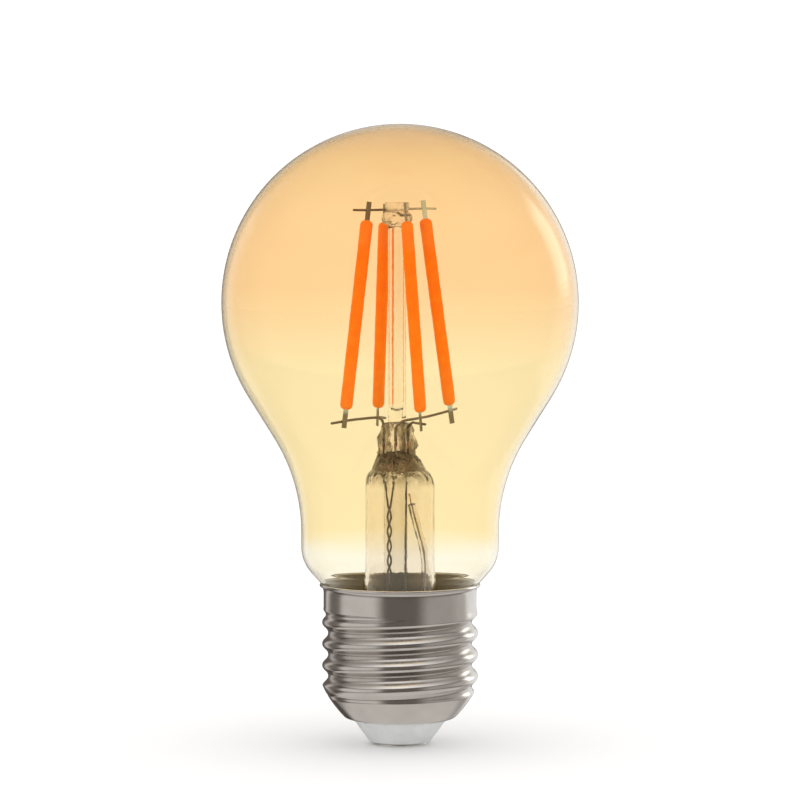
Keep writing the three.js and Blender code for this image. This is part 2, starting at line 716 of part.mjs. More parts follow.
const outerEndZ = boardTopZ + boardGap;
const outerStartZ = sealLowZ - wireGap;
const twistX = -1.75;
const twistY = exhaustY - exhaustRadius - twistRadius - 0.85;
const twistTopZ = outerStartZ - 6.4;
const twistLowZ = boardTopZ + 3.5;

// One of the two leads that are twisted round each other below the stem's ceiling.
function twistedLead(startX, turnOffset, endX) {
  const points = [spot(startX, sealY, outerStartZ), spot(startX, sealY - 0.15, outerStartZ - 0.8)];
  const count = twistTurns * twistSteps;
  const stepZ = (twistTopZ - twistLowZ) / count;
  for (let i = 0; i <= count; i++) {
    const angle = turnOffset + 2 * Math.PI * i / twistSteps;
    points.push(spot(twistX + twistRadius * Math.cos(angle),
      twistY + twistRadius * Math.sin(angle), twistTopZ - i * stepZ));
  }
  points.push(spot(endX, twistY - 0.4, outerEndZ + 1.2));
  points.push(spot(endX, twistY - 0.4, outerEndZ));
  return wire(points, outerWireRadius, 56);
}
place('outer_lead_left', twistedLead(sealX.left, Math.PI, twistX - 1.2), enamelWire);
place('outer_lead_centre', twistedLead(sealX.centre, 0, twistX + 1.2), enamelWire);
place('outer_lead_right', wire([
  spot(sealX.right, sealY, outerStartZ),
  spot(sealX.right - 0.1, sealY - 0.1, outerStartZ - 1),
  spot(1.05, -1.2, outerStartZ - 5),
  spot(1.0, -1.3, outerEndZ + 6),
  spot(1.3, -1.6, outerEndZ),
], outerWireRadius, 14), enamelWire);

// The radio's antenna leans inside the stem tube, in a sleeve, and its upper end is free.
const antennaY = -0.8;
const antennaReach = stemTubeRadius - stemTubeWall - sleeveRadius - 0.4;
const antennaRun = [
  spot(1.9, antennaY - 0.4, pressBottomZ - 7.0),
  spot(2.9, antennaY - 0.2, pressBottomZ - 11),
  spot(antennaReach - 0.1, antennaY, pressBottomZ - 15.5),
  spot(antennaReach, antennaY - 0.3, boardTopZ + 7),
  spot(antennaReach - 0.4, antennaY - 0.6, boardTopZ + 3),
];
place('antenna_sleeve', sleeve(antennaRun, sleeveRadius, sleeveWall, 16), paleSleeve);
place('antenna_wire', wire([
  spot(1.5, antennaY - 0.5, pressBottomZ - 5.2),
  ...antennaRun,
  spot(antennaReach - 0.5, antennaY - 0.7, outerEndZ),
], antennaWireRadius, 24), antennaCopper);

// ---- Driver board and its parts ----

function boardGeometry() {
  const outline = new THREE.Shape();
  outline.absarc(0, 0, boardRadius, 0, 2 * Math.PI, false);
  const hole = new THREE.Path();
  hole.absarc(exhaustX, exhaustY, exhaustRadius + boardHoleGap, 0, 2 * Math.PI, true);
  outline.holes.push(hole);
  const geometry = new THREE.ExtrudeGeometry(outline,
    { depth: boardThickness, curveSegments: 32, bevelEnabled: false });
  geometry.translate(0, 0, boardZ);
  return geometry;
}
place('driver_board', boardGeometry(), boardGreen);

// A chip package with gull legs on its two long sides, standing on z = 0.
function chipPackage(length, width, height, legCount) {
  const low = 0.15;
  let body = solid(block(spot(-length / 2, -width / 2, low), spot(length / 2, width / 2, height)));
  const pitch = length / legCount;
  for (let i = 0; i < legCount; i++) {
    const x = (i + 0.5) * pitch - length / 2;
    const leg = block(spot(x - 0.25, -width / 2 - 0.8, 0.05), spot(x + 0.25, width / 2 + 0.8, 0.35));
    body = body.add(solid(leg));
  }
  return geometryOf(body);
}

const rectifier = place('bridge_rectifier', chipPackage(4.7, 3.9, packageHeight, 2), chipBlack);
rectifier.position.set(4.9, -5.0, boardTopZ + boardGap);
rectifier.rotation.z = degrees(-42);
const driverChip = place('driver_chip', chipPackage(4.9, 3.9, packageHeight, 4), chipBlack);
driverChip.position.set(-4.9, -4.2, boardTopZ + boardGap);
driverChip.rotation.z = degrees(40);

// Parts that hang from the board: z = 0 is the board's underside, and -z is down.
const underside = new THREE.Group();
underside.position.z = boardZ - boardGap;
lamp.add(underside);

const capacitor = place('smoothing_capacitor', turned([
  corner(0, -capacitorLength),
  corner(capacitorRadius - 0.3, -capacitorLength),
  corner(capacitorRadius, 0.3 - capacitorLength),
  corner(capacitorRadius, -2.2),
  corner(capacitorRadius - 0.35, -1.8),
  corner(capacitorRadius, -1.4),
  corner(capacitorRadius, -0.2),
  corner(capacitorRadius - 0.5, -0.2),
  corner(capacitorRadius - 0.5, -0.2 - bungHeight),
  corner(0, -0.2 - bungHeight),
], 20), capacitorSkin, underside);
capacitor.position.set(...capacitorPlace, 0);
const bung = place('capacitor_bung',
  disc(capacitorRadius - 0.5 - boardGap, boardGap - 0.2 - bungHeight, 0, 16), bungRubber, underside);
bung.position.set(...capacitorPlace, 0);

const core = place('inductor_core', turned([
  corner(0, -inductorLength),
  corner(inductorRadius, -inductorLength),
  corner(inductorRadius, inductorFlange - inductorLength),
  corner(inductorWaist, inductorFlange - inductorLength),
  corner(inductorWaist, -inductorFlange),
  corner(inductorRadius, -inductorFlange),
  corner(inductorRadius, 0),
  corner(0, 0),
], 20), ferrite, underside);
core.position.set(...inductorPlace, 0);
const winding = place('inductor_winding', ring(inductorWaist + boardGap, inductorRadius - 0.3,
  inductorFlange + boardGap - inductorLength, -inductorFlange - boardGap, 20),
windingCopper, underside);
winding.position.set(...inductorPlace, 0);

// Fusible resistor on two leads, in a shrunk sleeve, between the board and the contact
const resistorTop = -1.6;
const resistorLow = resistorFloorGap - hangingRoom;
const resistorEnd = resistorLow - 0.9;
const resistor = place('fusible_resistor', turned([
  corner(0, resistorEnd),
  corner(resistorLead, resistorEnd),
  corner(resistorLead, resistorLow),
  corner(resistorRadius, resistorLow),
  corner(resistorRadius, resistorTop),
  corner(resistorLead, resistorTop),
  corner(resistorLead, 0),
  corner(0, 0),
], 14), resistorBlue, underside);
resistor.position.set(...resistorPlace, 0);
const shrink = place('resistor_sleeve', ring(resistorRadius + boardGap,
  resistorRadius + boardGap + resistorSleeveWall, resistorLow - 0.4, resistorTop + 0.4, 14),
sleeveWhite, underside);
shrink.position.set(...resistorPlace, 0);

// Radio module: a small board on edge, with its chip and its crystal on the outer face
place('module_board', block(
  spot(-moduleWidth / 2, moduleY, -moduleHeight),
  spot(moduleWidth / 2, moduleY + moduleThickness, 0)), moduleBlue, underside);
const moduleFace = moduleY + moduleThickness + boardGap;
place('wireless_chip', block(
  spot(-2.9, moduleFace, -0.78 * moduleHeight),
  spot(1.1, moduleFace + 0.9, -0.22 * moduleHeight)), chipBlack, underside);
place('module_crystal', block(
  spot(2.2, moduleFace, -0.61 * moduleHeight),
  spot(4.2, moduleFace + 0.7, -0.27 * moduleHeight)), crystalCan, underside);

// Leads to the two contacts of the cap
const [resistorX, resistorY] = resistorPlace;
const resistorFootZ = boardZ - boardGap + resistorEnd - 3 * wireGap;
place('centre_contact_lead', wire([
  spot(resistorX, resistorY, resistorFootZ),
  spot(resistorX * 0.9, resistorY * 0.85, resistorFootZ - 0.7),
  spot(0, -1.2, insulatorTopZ + 0.9),
  spot(0, -0.1, insulatorTopZ - 0.6),
  spot(0, 0, contactPinHeight + wireGap),
], leadWireRadius, 14), nickelWire);
place('side_contact_lead', wire([
  spot(0.7 * boardRadius, 0.45 * boardRadius, outerEndZ),
  spot(0.73 * boardRadius, 0.47 * boardRadius, outerEndZ + 0.6),
  spot(0.88 * boardRadius, 0.5 * boardRadius, outerEndZ + 0.9),
  spot(0.89 * shellInsideRadius, 0.38 * shellInsideRadius, outerEndZ + 0.75),
], leadWireRadius, 10), nickelWire);

export default lamp;
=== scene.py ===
import math

import bmesh
import bpy
import numpy as np
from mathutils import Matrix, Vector


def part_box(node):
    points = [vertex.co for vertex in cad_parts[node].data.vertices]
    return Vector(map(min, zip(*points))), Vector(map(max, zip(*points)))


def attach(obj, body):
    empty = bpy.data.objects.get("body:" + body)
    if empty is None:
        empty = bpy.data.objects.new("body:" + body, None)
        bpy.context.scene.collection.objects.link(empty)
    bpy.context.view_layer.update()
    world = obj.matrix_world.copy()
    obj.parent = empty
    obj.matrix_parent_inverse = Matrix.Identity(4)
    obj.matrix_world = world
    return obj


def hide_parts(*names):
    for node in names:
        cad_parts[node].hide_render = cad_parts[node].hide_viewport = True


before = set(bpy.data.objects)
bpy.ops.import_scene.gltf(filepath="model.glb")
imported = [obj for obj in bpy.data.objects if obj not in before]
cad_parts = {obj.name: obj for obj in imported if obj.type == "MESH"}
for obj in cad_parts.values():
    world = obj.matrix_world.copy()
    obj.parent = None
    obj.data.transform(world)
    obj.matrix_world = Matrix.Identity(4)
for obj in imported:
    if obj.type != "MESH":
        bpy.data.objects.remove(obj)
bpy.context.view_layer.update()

mm = 0.001  # shapes are worked out in millimetres


# A socket of a shader, with arithmetic: each operator adds a Math node and gives its output.
class Signal:
    def __init__(self, finish, socket):
        self.finish = finish
        self.socket = socket

    def math(self, operation, *values):
        return self.finish.node("Math", {"operation": operation}, dict(enumerate(values)))

    def __add__(self, other):
        return self.math("ADD", self, other)

    def __sub__(self, other):
        return self.math("SUBTRACT", self, other)

    def __rsub__(self, other):
        return self.math("SUBTRACT", other, self)

    def __mul__(self, other):
        return self.math("MULTIPLY", self, other)

    __radd__ = __add__
    __rmul__ = __mul__


# A material on one Principled shader. Patterns read Object coordinates in millimetres.
class Finish:
    def __init__(self, name, **values):
        self.material = bpy.data.materials.new(name)
        self.material.use_nodes = True
        self.tree = self.material.node_tree
        self.shader = self.tree.nodes["Principled BSDF"]
        self.set(**values)

    # Any node: its settings are made first, then its sockets get their values or links.
    def node(self, kind, settings=None, inputs=None, output=0):
        made = self.tree.nodes.new("ShaderNode" + kind)
        for key, value in (settings or {}).items():
            if key == "stops":
                self.setStops(made.color_ramp, value)
            else:
                setattr(made, key, value)
        for key, value in (inputs or {}).items():
            self.feed(made.inputs[key], value)
        return Signal(self, made.outputs[output])

    def feed(self, socket, value):
        if isinstance(value, Signal):
            self.tree.links.new(value.socket, socket)
        elif socket.type == "RGBA" and len(value) == 3:
            socket.default_value = (*value, 1)
        else:
            socket.default_value = value

    def setStops(self, ramp, stops):
        while len(ramp.elements) < len(stops):
            ramp.elements.new(1)
        for element, (place, colour) in zip(ramp.elements, stops):
            element.position = place
            element.color = (*colour, 1)

    def place(self, scale=(1, 1, 1)):
        spot = self.node("TexCoord", output="Object")
        grown = tuple(part / mm for part in scale)
        return self.node("Mapping", {}, {"Vector": spot, "Scale": grown})

    def axis(self, name):
        return self.node("SeparateXYZ", {}, {0: self.place()}, name)

    def noise(self, scale, detail=3, stretch=(1, 1, 1)):
        return self.node("TexNoise", {}, {"Vector": self.place(stretch), "Scale": scale,
                                          "Detail": detail}, "Fac")

    def ramp(self, value, low, high):
        return self.node("MapRange", {}, {0: value, 1: low, 2: high})

    def blend(self, share, first, second):
        return self.node("Mix", {"data_type": "RGBA"}, {0: share, 6: first, 7: second}, 2)

    def bump(self, height, distance, strength=1.0):
        return self.node("Bump", {}, {"Height": height, "Distance": distance * mm,
                                      "Strength": strength})

    # The glass darkens what passes through it with the distance travelled inside it.
    def fill(self, colour, density):
        body = self.node("VolumeAbsorption", {}, {"Color": colour, "Density": density / mm})
        self.feed(self.tree.nodes["Material Output"].inputs["Volume"], body)

    def set(self, **values):
        for key, value in values.items():
            self.feed(self.shader.inputs[spaced(key)], value)


# baseColor becomes Base Color, and ior becomes IOR.
def spaced(name):
    words = "".join(" " + letter if letter.isupper() else letter for letter in name)
    return (words[0].upper() + words[1:]).replace("Ior", "IOR")


# Amber lacquer on blown glass: full strength at the crown, thinner towards the neck, and none
# below its edge. At the very tip it is darker still: painted shade for the dark top edge.
amberCoat = {
    # painted shade: the tip's colour is darker than the crown's
    "tip": (0.88, 0.69, 0.48),
    "crown": (0.95, 0.755, 0.50),
    "shoulder": (0.99, 0.79, 0.545),
    "throat": (0.997, 0.915, 0.68),
    "bare": (0.995, 0.985, 0.905),
    "edge": (33.0, 35.6),   # the coat thins out between these two heights
    "span": (34, 103),      # from the throat to the tip
    "cloud": 0.22,          # how far the coat's thickness wanders
    "body": (0.80, 0.72, 0.58),
    "density": 0.25,        # how fast the glass itself darkens, per millimetre
}


def makeAmberGlass():
    finish = Finish("amberGlass", transmissionWeight=1.0, roughness=0.012, ior=1.33,
                    specularTint=(1.0, 0.74, 0.34))
    height = finish.axis("Z")
    stops = [(0, amberCoat["throat"]), (0.42, amberCoat["throat"]), (0.62, amberCoat["shoulder"]),
             (0.78, amberCoat["shoulder"]), (0.94, amberCoat["crown"]), (1, amberCoat["tip"])]
    up = finish.ramp(height, *amberCoat["span"])
    coat = finish.node("ValToRGB", {"stops": stops}, {0: up}, "Color")
    cloud = finish.ramp(finish.noise(0.045, 2), 0.3, 0.7)
    coat = finish.blend(cloud * amberCoat["cloud"], coat, amberCoat["throat"])
    covered = finish.ramp(height + finish.noise(0.6, 2) * 0.5, *amberCoat["edge"])
    finish.set(baseColor=finish.blend(covered, amberCoat["bare"], coat))
    finish.fill(amberCoat["body"], amberCoat["density"])
    return finish.material


# Stem glass is drawn smooth in its tube. Where it was pinched round the wires it is folded and
# full of brown streaks of oxide, which set in between the two heights. Haze makes it milky.
def makeStemGlass(name="stemGlass", wrinkle=0.03, pinched=None, density=0.03, haze=0.0):
    finish = Finish(name, transmissionWeight=1.0, ior=1.47, roughness=0.03)
    cloud = finish.ramp(finish.noise(0.35, 3), 0.35, 0.75)
    colour = finish.blend(cloud, (0.992, 0.975, 0.945), (0.975, 0.95, 0.915))
    folds = finish.noise(0.9, 3, (1, 1, 0.45)) * wrinkle
    if pinched:
        reach = finish.ramp(finish.axis("Z"), *pinched)
        streaks = finish.ramp(finish.noise(0.8, 3, (1, 1, 0.3)), 0.36, 0.50)
        colour = finish.blend(streaks * reach * 0.9, colour, (0.13, 0.095, 0.04))
        folds = folds + finish.noise(0.75, 2, (1, 1, 0.5)) * reach * reach * 1.3
    finish.set(baseColor=colour, normal=finish.bump(folds, 1.0))
    if haze:
        finish.set(roughness=0.03 + cloud * haze)
    finish.fill((0.74, 0.52, 0.42), density)
    return finish.material


def makePhosphor():
    finish = Finish("orangePhosphor", roughness=0.5, specularIorLevel=0.12, subsurfaceWeight=0.15,
                    subsurfaceRadius=(1.0, 0.35, 0.05), subsurfaceScale=0.4 * mm)
    grain = finish.noise(5.0, 4)
    cloud = finish.ramp(finish.noise(0.8, 3), 0.3, 0.7)
    colour = finish.blend(cloud, (0.98, 0.195, 0.001), (0.98, 0.245, 0.002))
    colour = finish.blend(finish.ramp(grain, 0.55, 0.8) * 0.4, colour, (0.95, 0.16, 0.001))
    # Painted light: the emission makes the phosphor glow a little, though the lamp is not lit.
    finish.set(baseColor=colour, emissionColor=colour, emissionStrength=0.28)
    finish.set(roughness=0.42 + grain * 0.2)
    finish.set(normal=finish.bump(grain, 0.03, 0.5))
    return finish.material


# Bright plate, with painted shade in the thread's groove, which is also rougher. The cap's
# inside is painted shade too: dark, dull and olive brown.
def makeNickelPlate():
    finish = Finish("nickelPlate")
    brushed = finish.noise(0.5, 5, (0.25, 0.25, 9))
    patchy = finish.ramp(finish.noise(0.22, 4), 0.35, 0.7)
    specks = finish.ramp(finish.noise(2.6, 2), 0.68, 0.74)
    flat = finish.node("VectorMath", {"operation": "MULTIPLY"},
                       {0: finish.place(), 1: (1, 1, 0)})
    radius = finish.node("VectorMath", {"operation": "LENGTH"}, {0: flat}, "Value")
    threaded = finish.ramp(finish.axis("Z"), 8.5, 10)
    groove = (1 - finish.ramp(radius, 12.15, 12.75)) * threaded
    colour = finish.blend(patchy, (0.66, 0.625, 0.59), (0.60, 0.57, 0.535))
    # painted shade: the groove darkens the plate; the specks are dark marks of the same colour
    colour = finish.blend(groove * 0.35 + specks * 0.2, colour, (0.36, 0.315, 0.28))
    # painted shade: the cap's inside is dark olive brown, dull and hardly metallic
    insideShade = finish.node("Attribute", {"attribute_name": "fluxed"}, {}, "Fac")
    finish.set(baseColor=finish.blend(insideShade, colour, (0.050, 0.045, 0.012)))
    finish.set(metallic=1 - insideShade * 0.9)
    finish.set(roughness=0.13 + patchy * 0.06 + brushed * 0.07 + groove * 0.05 + insideShade * 0.4)
    finish.set(normal=finish.bump(brushed, 0.02, 0.35))
    return finish.material


def makeMoulded(name, light, dark, roughness=0.5, grain=1.5, depth=0.02):
    finish = Finish(name)
    cloud = finish.ramp(finish.noise(grain * 0.25, 3), 0.3, 0.7)
    fine = finish.noise(grain * 3, 3)
    finish.set(baseColor=finish.blend(cloud, light, dark))
    finish.set(roughness=roughness - 0.08 + fine * 0.16)
    finish.set(normal=finish.bump(fine, depth, 0.4))
    return finish.material


# Heights over which metal comes to count as next to the filaments' heads, or their feet, where
# painted highlights set in.
highlightHeights = {"heads": (80, 86), "feet": (55.6, 56.6)}


# Metal that heat has stained in patches. With an X range, it is dark all over, with painted
# highlights: at the filaments' heads it is lighter and lighter from the first X position to
# the second, and the tabs at their feet are bright next to the ceramic.
def makeMetal(name, light, dark, roughness=0.3, cooled=None):
    finish = Finish(name, metallic=1.0)
    stainAndHighlight = finish.ramp(finish.noise(0.8, 3), 0.35, 0.7)
    if cooled:
        height = finish.axis("Z")
        high = finish.ramp(height, *highlightHeights["heads"])
        foot = finish.ramp(height, *highlightHeights["feet"]) * (1 - high) * 0.7
        # painted highlights: lighter towards the second X at the heads, and just above the feet
        stainAndHighlight = 1 - finish.ramp(finish.axis("X"), *cooled) * high - foot + stainAndHighlight * 0.1
    scratches = finish.noise(6.0, 4)
    finish.set(baseColor=finish.blend(stainAndHighlight, light, dark))
    finish.set(roughness=roughness - 0.06 + scratches * 0.14)
    finish.set(normal=finish.bump(scratches, 0.01, 0.3))
    return finish.material


amberGlass = makeAmberGlass()
stemGlass = makeStemGlass()
pinchedGlass = makeStemGlass("pinchedGlass", 0.03, (43.2, 47.0), 0.13)
beadGlass = makeStemGlass("beadGlass", 0.6, None, 0.02, 0.3)
orangePhosphor = makePhosphor()
nickelPlate = makeNickelPlate()
insulatorGrey = makeMoulded("insulatorGrey", (0.73, 0.74, 0.73), (0.65, 0.66, 0.65), 0.42)
# painted highlights: with an X range these two metals are lit up at the heads and feet; the tab's
# pale blue is a highlight colour
wireNickel = makeMetal("wireNickel", (0.58, 0.60, 0.58), (0.17, 0.14, 0.11), 0.35,
                       cooled=(-1, 4))
tabSteel = makeMetal("tabSteel", (0.70, 0.88, 0.96), (0.20, 0.17, 0.13), 0.35, cooled=(-1, 5))
sealCopper = makeMetal("sealCopper", (0.42, 0.14, 0.07), (0.25, 0.08, 0.04), 0.4)
tinnedBrass = makeMetal("tinnedBrass", (0.80, 0.79, 0.76), (0.68, 0.66, 0.61), 0.34)
antennaCopper = makeMetal("antennaCopper", (0.62, 0.33, 0.14), (0.5, 0.25, 0.1), 0.35)
windingCopper = makeMetal("windingCopper", (0.65, 0.32, 0.13), (0.5, 0.22, 0.08), 0.3)
crystalCan = makeMetal("crystalCan", (0.62, 0.62, 0.62), (0.5, 0.5, 0.5), 0.28)
enamelWire = makeMoulded("enamelWire", (0.12, 0.06, 0.03), (0.07, 0.035, 0.02), 0.35)
paleSleeve = makeStemGlass("paleSleeve", 0.1)
cementGrey = makeMoulded("cementGrey", (0.50, 0.46, 0.38), (0.38, 0.35, 0.29), 0.9, 2.0, 0.12)
boardGreen = makeMoulded("boardGreen", (0.03, 0.12, 0.045), (0.02, 0.085, 0.03), 0.4)
moduleGreen = makeMoulded("moduleGreen", (0.02, 0.06, 0.05), (0.015, 0.045, 0.04), 0.4)
chipBlack = makeMoulded("chipBlack", (0.02, 0.02, 0.022), (0.013, 0.013, 0.014), 0.5, 4.0)
capacitorSkin = makeMoulded("capacitorSkin", (0.03, 0.035, 0.045), (0.02, 0.024, 0.03), 0.35)
bungRubber = makeMoulded("bungRubber", (0.015, 0.015, 0.015), (0.01, 0.01, 0.01), 0.75, 3.0)
ferriteBlack = makeMoulded("ferriteBlack", (0.045, 0.04, 0.037), (0.03, 0.027, 0.025), 0.7, 4.0)
resistorSkin = makeMoulded("resistorSkin", (0.16, 0.27, 0.33), (0.12, 0.21, 0.27), 0.45)
shrinkSleeve = makeMoulded("shrinkSleeve", (0.75, 0.73, 0.66), (0.68, 0.66, 0.6), 0.5)
ceramicStrip = makeMoulded("ceramicStrip", (0.8, 0.78, 0.7), (0.72, 0.7, 0.62), 0.5)
chipYellow = makeMoulded("chipYellow", (0.6, 0.5, 0.12), (0.5, 0.42, 0.1), 0.25)
print("finishes made")


# The lowest and highest corners of a CAD node, in millimetres.
def boxOf(node):
    low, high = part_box(node)
    return np.array(low) / mm, np.array(high) / mm


def arc(centreR, centreZ, radius, fromAngle, toAngle, steps):
    angle = np.linspace(fromAngle, toAngle, steps + 1)
    return np.stack([centreR + radius * np.cos(angle), centreZ + radius * np.sin(angle)], -1)


# The curve from a to c that leaves a, and meets c, along its lines to b.
def bend(a, b, c, steps):
    a, b, c = np.array(a, float), np.array(b, float), np.array(c, float)
    t = np.linspace(0, 1, steps + 1)[:, None]
    return (1 - t) ** 2 * a + 2 * t * (1 - t) * b + t ** 2 * c


def unit(vectors):
    return vectors / np.maximum(np.linalg.norm(vectors, axis=-1, keepdims=True), 1e-12)


# Each corner of an outline becomes a short curve that leaves its sides at most reach from it.
def eased(outline, reach, steps=4, ringed=False):
    outline = np.asarray(outline, float)
    corner = outline if ringed else outline[1:-1]
    toBefore = (np.roll(outline, 1, 0) if ringed else outline[:-2]) - corner
    toAfter = (np.roll(outline, -1, 0) if ringed else outline[2:]) - corner
    backLength = np.linalg.norm(toBefore, axis=1, keepdims=True)
    nextLength = np.linalg.norm(toAfter, axis=1, keepdims=True)
    start = corner + unit(toBefore) * np.minimum(reach, 0.45 * backLength)
    end = corner + unit(toAfter) * np.minimum(reach, 0.45 * nextLength)
    t = np.linspace(0, 1, steps + 1)[:, None, None]
    curve = (1 - t) ** 2 * start + 2 * t * (1 - t) * corner + t ** 2 * end
    points = curve.transpose(1, 0, 2).reshape(-1, 2)
    return points if ringed else np.vstack([outline[:1], points, outline[-1:]])


# How far along the line each of its points lies.
def lengthAlong(line):
    return np.r_[0, np.cumsum(np.linalg.norm(np.diff(line, axis=0), axis=1))]


# The points of the line at the given lengths along it.
def pointsAt(spots, length, line):
    return np.stack([np.interp(spots, length, part) for part in line.T], -1)


# The outline with points no further apart than gap, so that it can be shaped further.
def filled(outline, gap):
    length = lengthAlong(outline)
    spots = np.unique(np.r_[length, np.arange(0, length[-1], gap)])
    return pointsAt(spots, length, outline)


def circle(radius, columns):
    angle = np.linspace(0, 2 * math.pi, columns, endpoint=False)
    return radius * np.stack([np.cos(angle), np.sin(angle)], -1)


# A profile of (radius, height) turned round an upright axis: x = r cos a, y = r sin a.
def turned(profile, columns, centre=(0, 0)):
    c, s = circle(1, columns).T
    grid = np.empty((len(profile), columns, 3))
    grid[..., 0] = centre[0] + profile[:, :1] * c
    grid[..., 1] = centre[1] + profile[:, :1] * s
    grid[..., 2] = profile[:, 1:]
    return grid


# A smooth curve through the points, at even steps: between two neighbours it is the cubic
# with the centripetal Catmull-Rom slopes at them.
def smoothPath(points, gap):
    points = np.asarray(points, float)
    ends = 2 * points[[0, -1]] - points[[1, -2]]
    chain = np.vstack([ends[:1], points, ends[1:]])
    span = np.sqrt(np.linalg.norm(np.diff(chain, axis=0), axis=1))[:, None]
    before, after = span[:-1], span[1:]
    slope = ((chain[1:-1] - chain[:-2]) / before - (chain[2:] - chain[:-2]) / (before + after)
             + (chain[2:] - chain[1:-1]) / after)
    where = np.linspace(0, len(points) - 1, 24 * (len(points) - 1) + 1)
    i = np.minimum(where.astype(int), len(points) - 2)
    t = (where - i)[:, None]
    leave, meet = slope[i] * span[1:-1][i], slope[i + 1] * span[1:-1][i]
    curve = ((2 * t ** 3 - 3 * t ** 2 + 1) * points[i] + (t ** 3 - 2 * t ** 2 + t) * leave
             + (3 * t ** 2 - 2 * t ** 3) * points[i + 1] + (t ** 3 - t ** 2) * meet)
    length = lengthAlong(curve)
    spots = np.linspace(0, length[-1], max(2, int(length[-1] / gap)) + 1)
    return pointsAt(spots, length, curve)


# A section carried along a path. Its two axes stand square to the path: the first is the
# path's direction crossed with a fixed one, and the second is square to both.
def carried(path, section, girth, fixed=None):
    along = unit(np.gradient(path, axis=0))
    if fixed is None:
        fixed = np.linalg.svd(path - path.mean(0), full_matrices=False)[2][-1]
    across = unit(np.cross(along, fixed))
    beside = np.cross(across, along)
    girth = np.broadcast_to(girth, len(path))[:, None, None]
    return path[:, None] + girth * (section[None, :, :1] * across[:, None]
                                    + section[None, :, 1:] * beside[:, None])


# An object of its own for the data, in the scene.
def put(name, data):
    made = bpy.data.objects.new(name, data)
    bpy.context.scene.collection.objects.link(made)
    return made


# A grid of points becomes a closed mesh: rows run along the piece and columns round it.
# A row whose points all meet is a pole, and they are merged. With ringed, the last row joins
# the first. Faces point outwards: their pyramids to the origin add up to a volume above zero.
def skin(name, grid, finish, replaces, ringed=False):
    rows, columns = grid.shape[:2]
    index = np.arange(rows * columns).reshape(rows, columns)
    below = index if ringed else index[:-1]
    above = np.roll(index, -1, 0) if ringed else index[1:]
    faces = np.stack([below, np.roll(below, -1, 1), np.roll(above, -1, 1), above], -1)
    faces = faces.reshape(-1, 4)
    points = grid.reshape(-1, 3)
    a, b, c, d = (points[faces[:, k]] for k in range(4))
    if np.sum(a * np.cross(b, c)) + np.sum(a * np.cross(c, d)) < 0:
        faces = faces[:, ::-1]
    mesh = bpy.data.meshes.new(name)
    mesh.from_pydata((points * mm).tolist(), [], faces.tolist())
    work = bmesh.new()
    work.from_mesh(mesh)
    bmesh.ops.remove_doubles(work, verts=work.verts, dist=1e-7)
    work.to_mesh(mesh)
    work.free()
    mesh.polygons.foreach_set("use_smooth", np.ones(len(mesh.polygons), bool))
    mesh.materials.append(finish)
    piece = put(name, mesh)
    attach(piece, "root")
    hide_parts(*replaces)
    return piece


bulb = {
    "wall": 0.7,
    "rimWall": 0.14,        # how far the cap's wall stands up past its rim's height
    "flareGap": 0.15,       # between the bulb's seal and the stem's flare
    "throatArcRadius": 30,
    "neckTopRise": 8.8,     # above the cap's rim
    "neckRadius": 16.6,
    "shoulderRise": 6.4,    # above the cap's rim
    "shoulderArcRadius": 6.5,
    "shoulderAngle": math.radians(41),
    "sealArcRadius": 6,
    "steps": 22,
    "columns": 160,
}
bulbLow, bulbHigh = boxOf("glass_envelope")
capLow, capHigh = boxOf("cap_shell")
stemLow, stemHigh = boxOf("stem_tube")
rimZ = capHigh[2] - bulb["rimWall"]
sealRadius = stemHigh[0] + bulb["wall"] + bulb["flareGap"]


# The glass from the crown down to its seal in the cap, moved inwards by inset: a globe, a cone
# that touches it, the throat's arc, the shoulder's arc, a cone and the seal's arc.
def bulbOutline(inset, steps):
    globeRadius = bulbHigh[0]
    globeZ = bulbHigh[2] - globeRadius
    neckTopZ = rimZ + bulb["neckTopRise"]
    throatCentre = bulb["neckRadius"] + bulb["throatArcRadius"]
    drop = globeZ - neckTopZ
    cone = math.atan2(drop, throatCentre) - math.acos(
        (globeRadius + bulb["throatArcRadius"]) / math.hypot(throatCentre, drop))
    tilt = bulb["shoulderAngle"]
    shoulderZ = rimZ + bulb["shoulderRise"]
    endRadius = bulb["neckRadius"] - bulb["shoulderArcRadius"] * (1 - math.cos(tilt))
    endZ = shoulderZ - bulb["shoulderArcRadius"] * math.sin(tilt)
    sealTop = sealRadius + bulb["sealArcRadius"] * (1 - math.cos(tilt))
    sealTopZ = endZ - (endRadius - sealTop) / math.tan(tilt)
    sealCentreZ = sealTopZ - bulb["sealArcRadius"] * math.sin(tilt)
    globe = globeRadius - inset
    return np.vstack([
        arc(0, globeZ, globe, math.pi / 2, 0, 2 * steps),
        arc(0, globeZ, globe, 0, -cone, steps)[1:],
        arc(throatCentre, neckTopZ, bulb["throatArcRadius"] + inset,
            math.pi - cone, math.pi, steps),
        arc(bulb["neckRadius"] - bulb["shoulderArcRadius"], shoulderZ,
            bulb["shoulderArcRadius"] - inset, 0, -tilt, steps // 2),
        arc(sealRadius + bulb["sealArcRadius"], sealCentreZ, bulb["sealArcRadius"] + inset,
            math.pi - tilt, math.pi, steps // 2),
        [(sealRadius - inset, bulbLow[2])],
    ])


outside = bulbOutline(0, bulb["steps"])
inside = bulbOutline(bulb["wall"], bulb["steps"])
outside[0, 0] = inside[0, 0] = 0
skin("glassBulb", turned(np.vstack([outside, inside[::-1]]), bulb["columns"]),
     amberGlass, ["glass_envelope"])
print("glass bulb made")

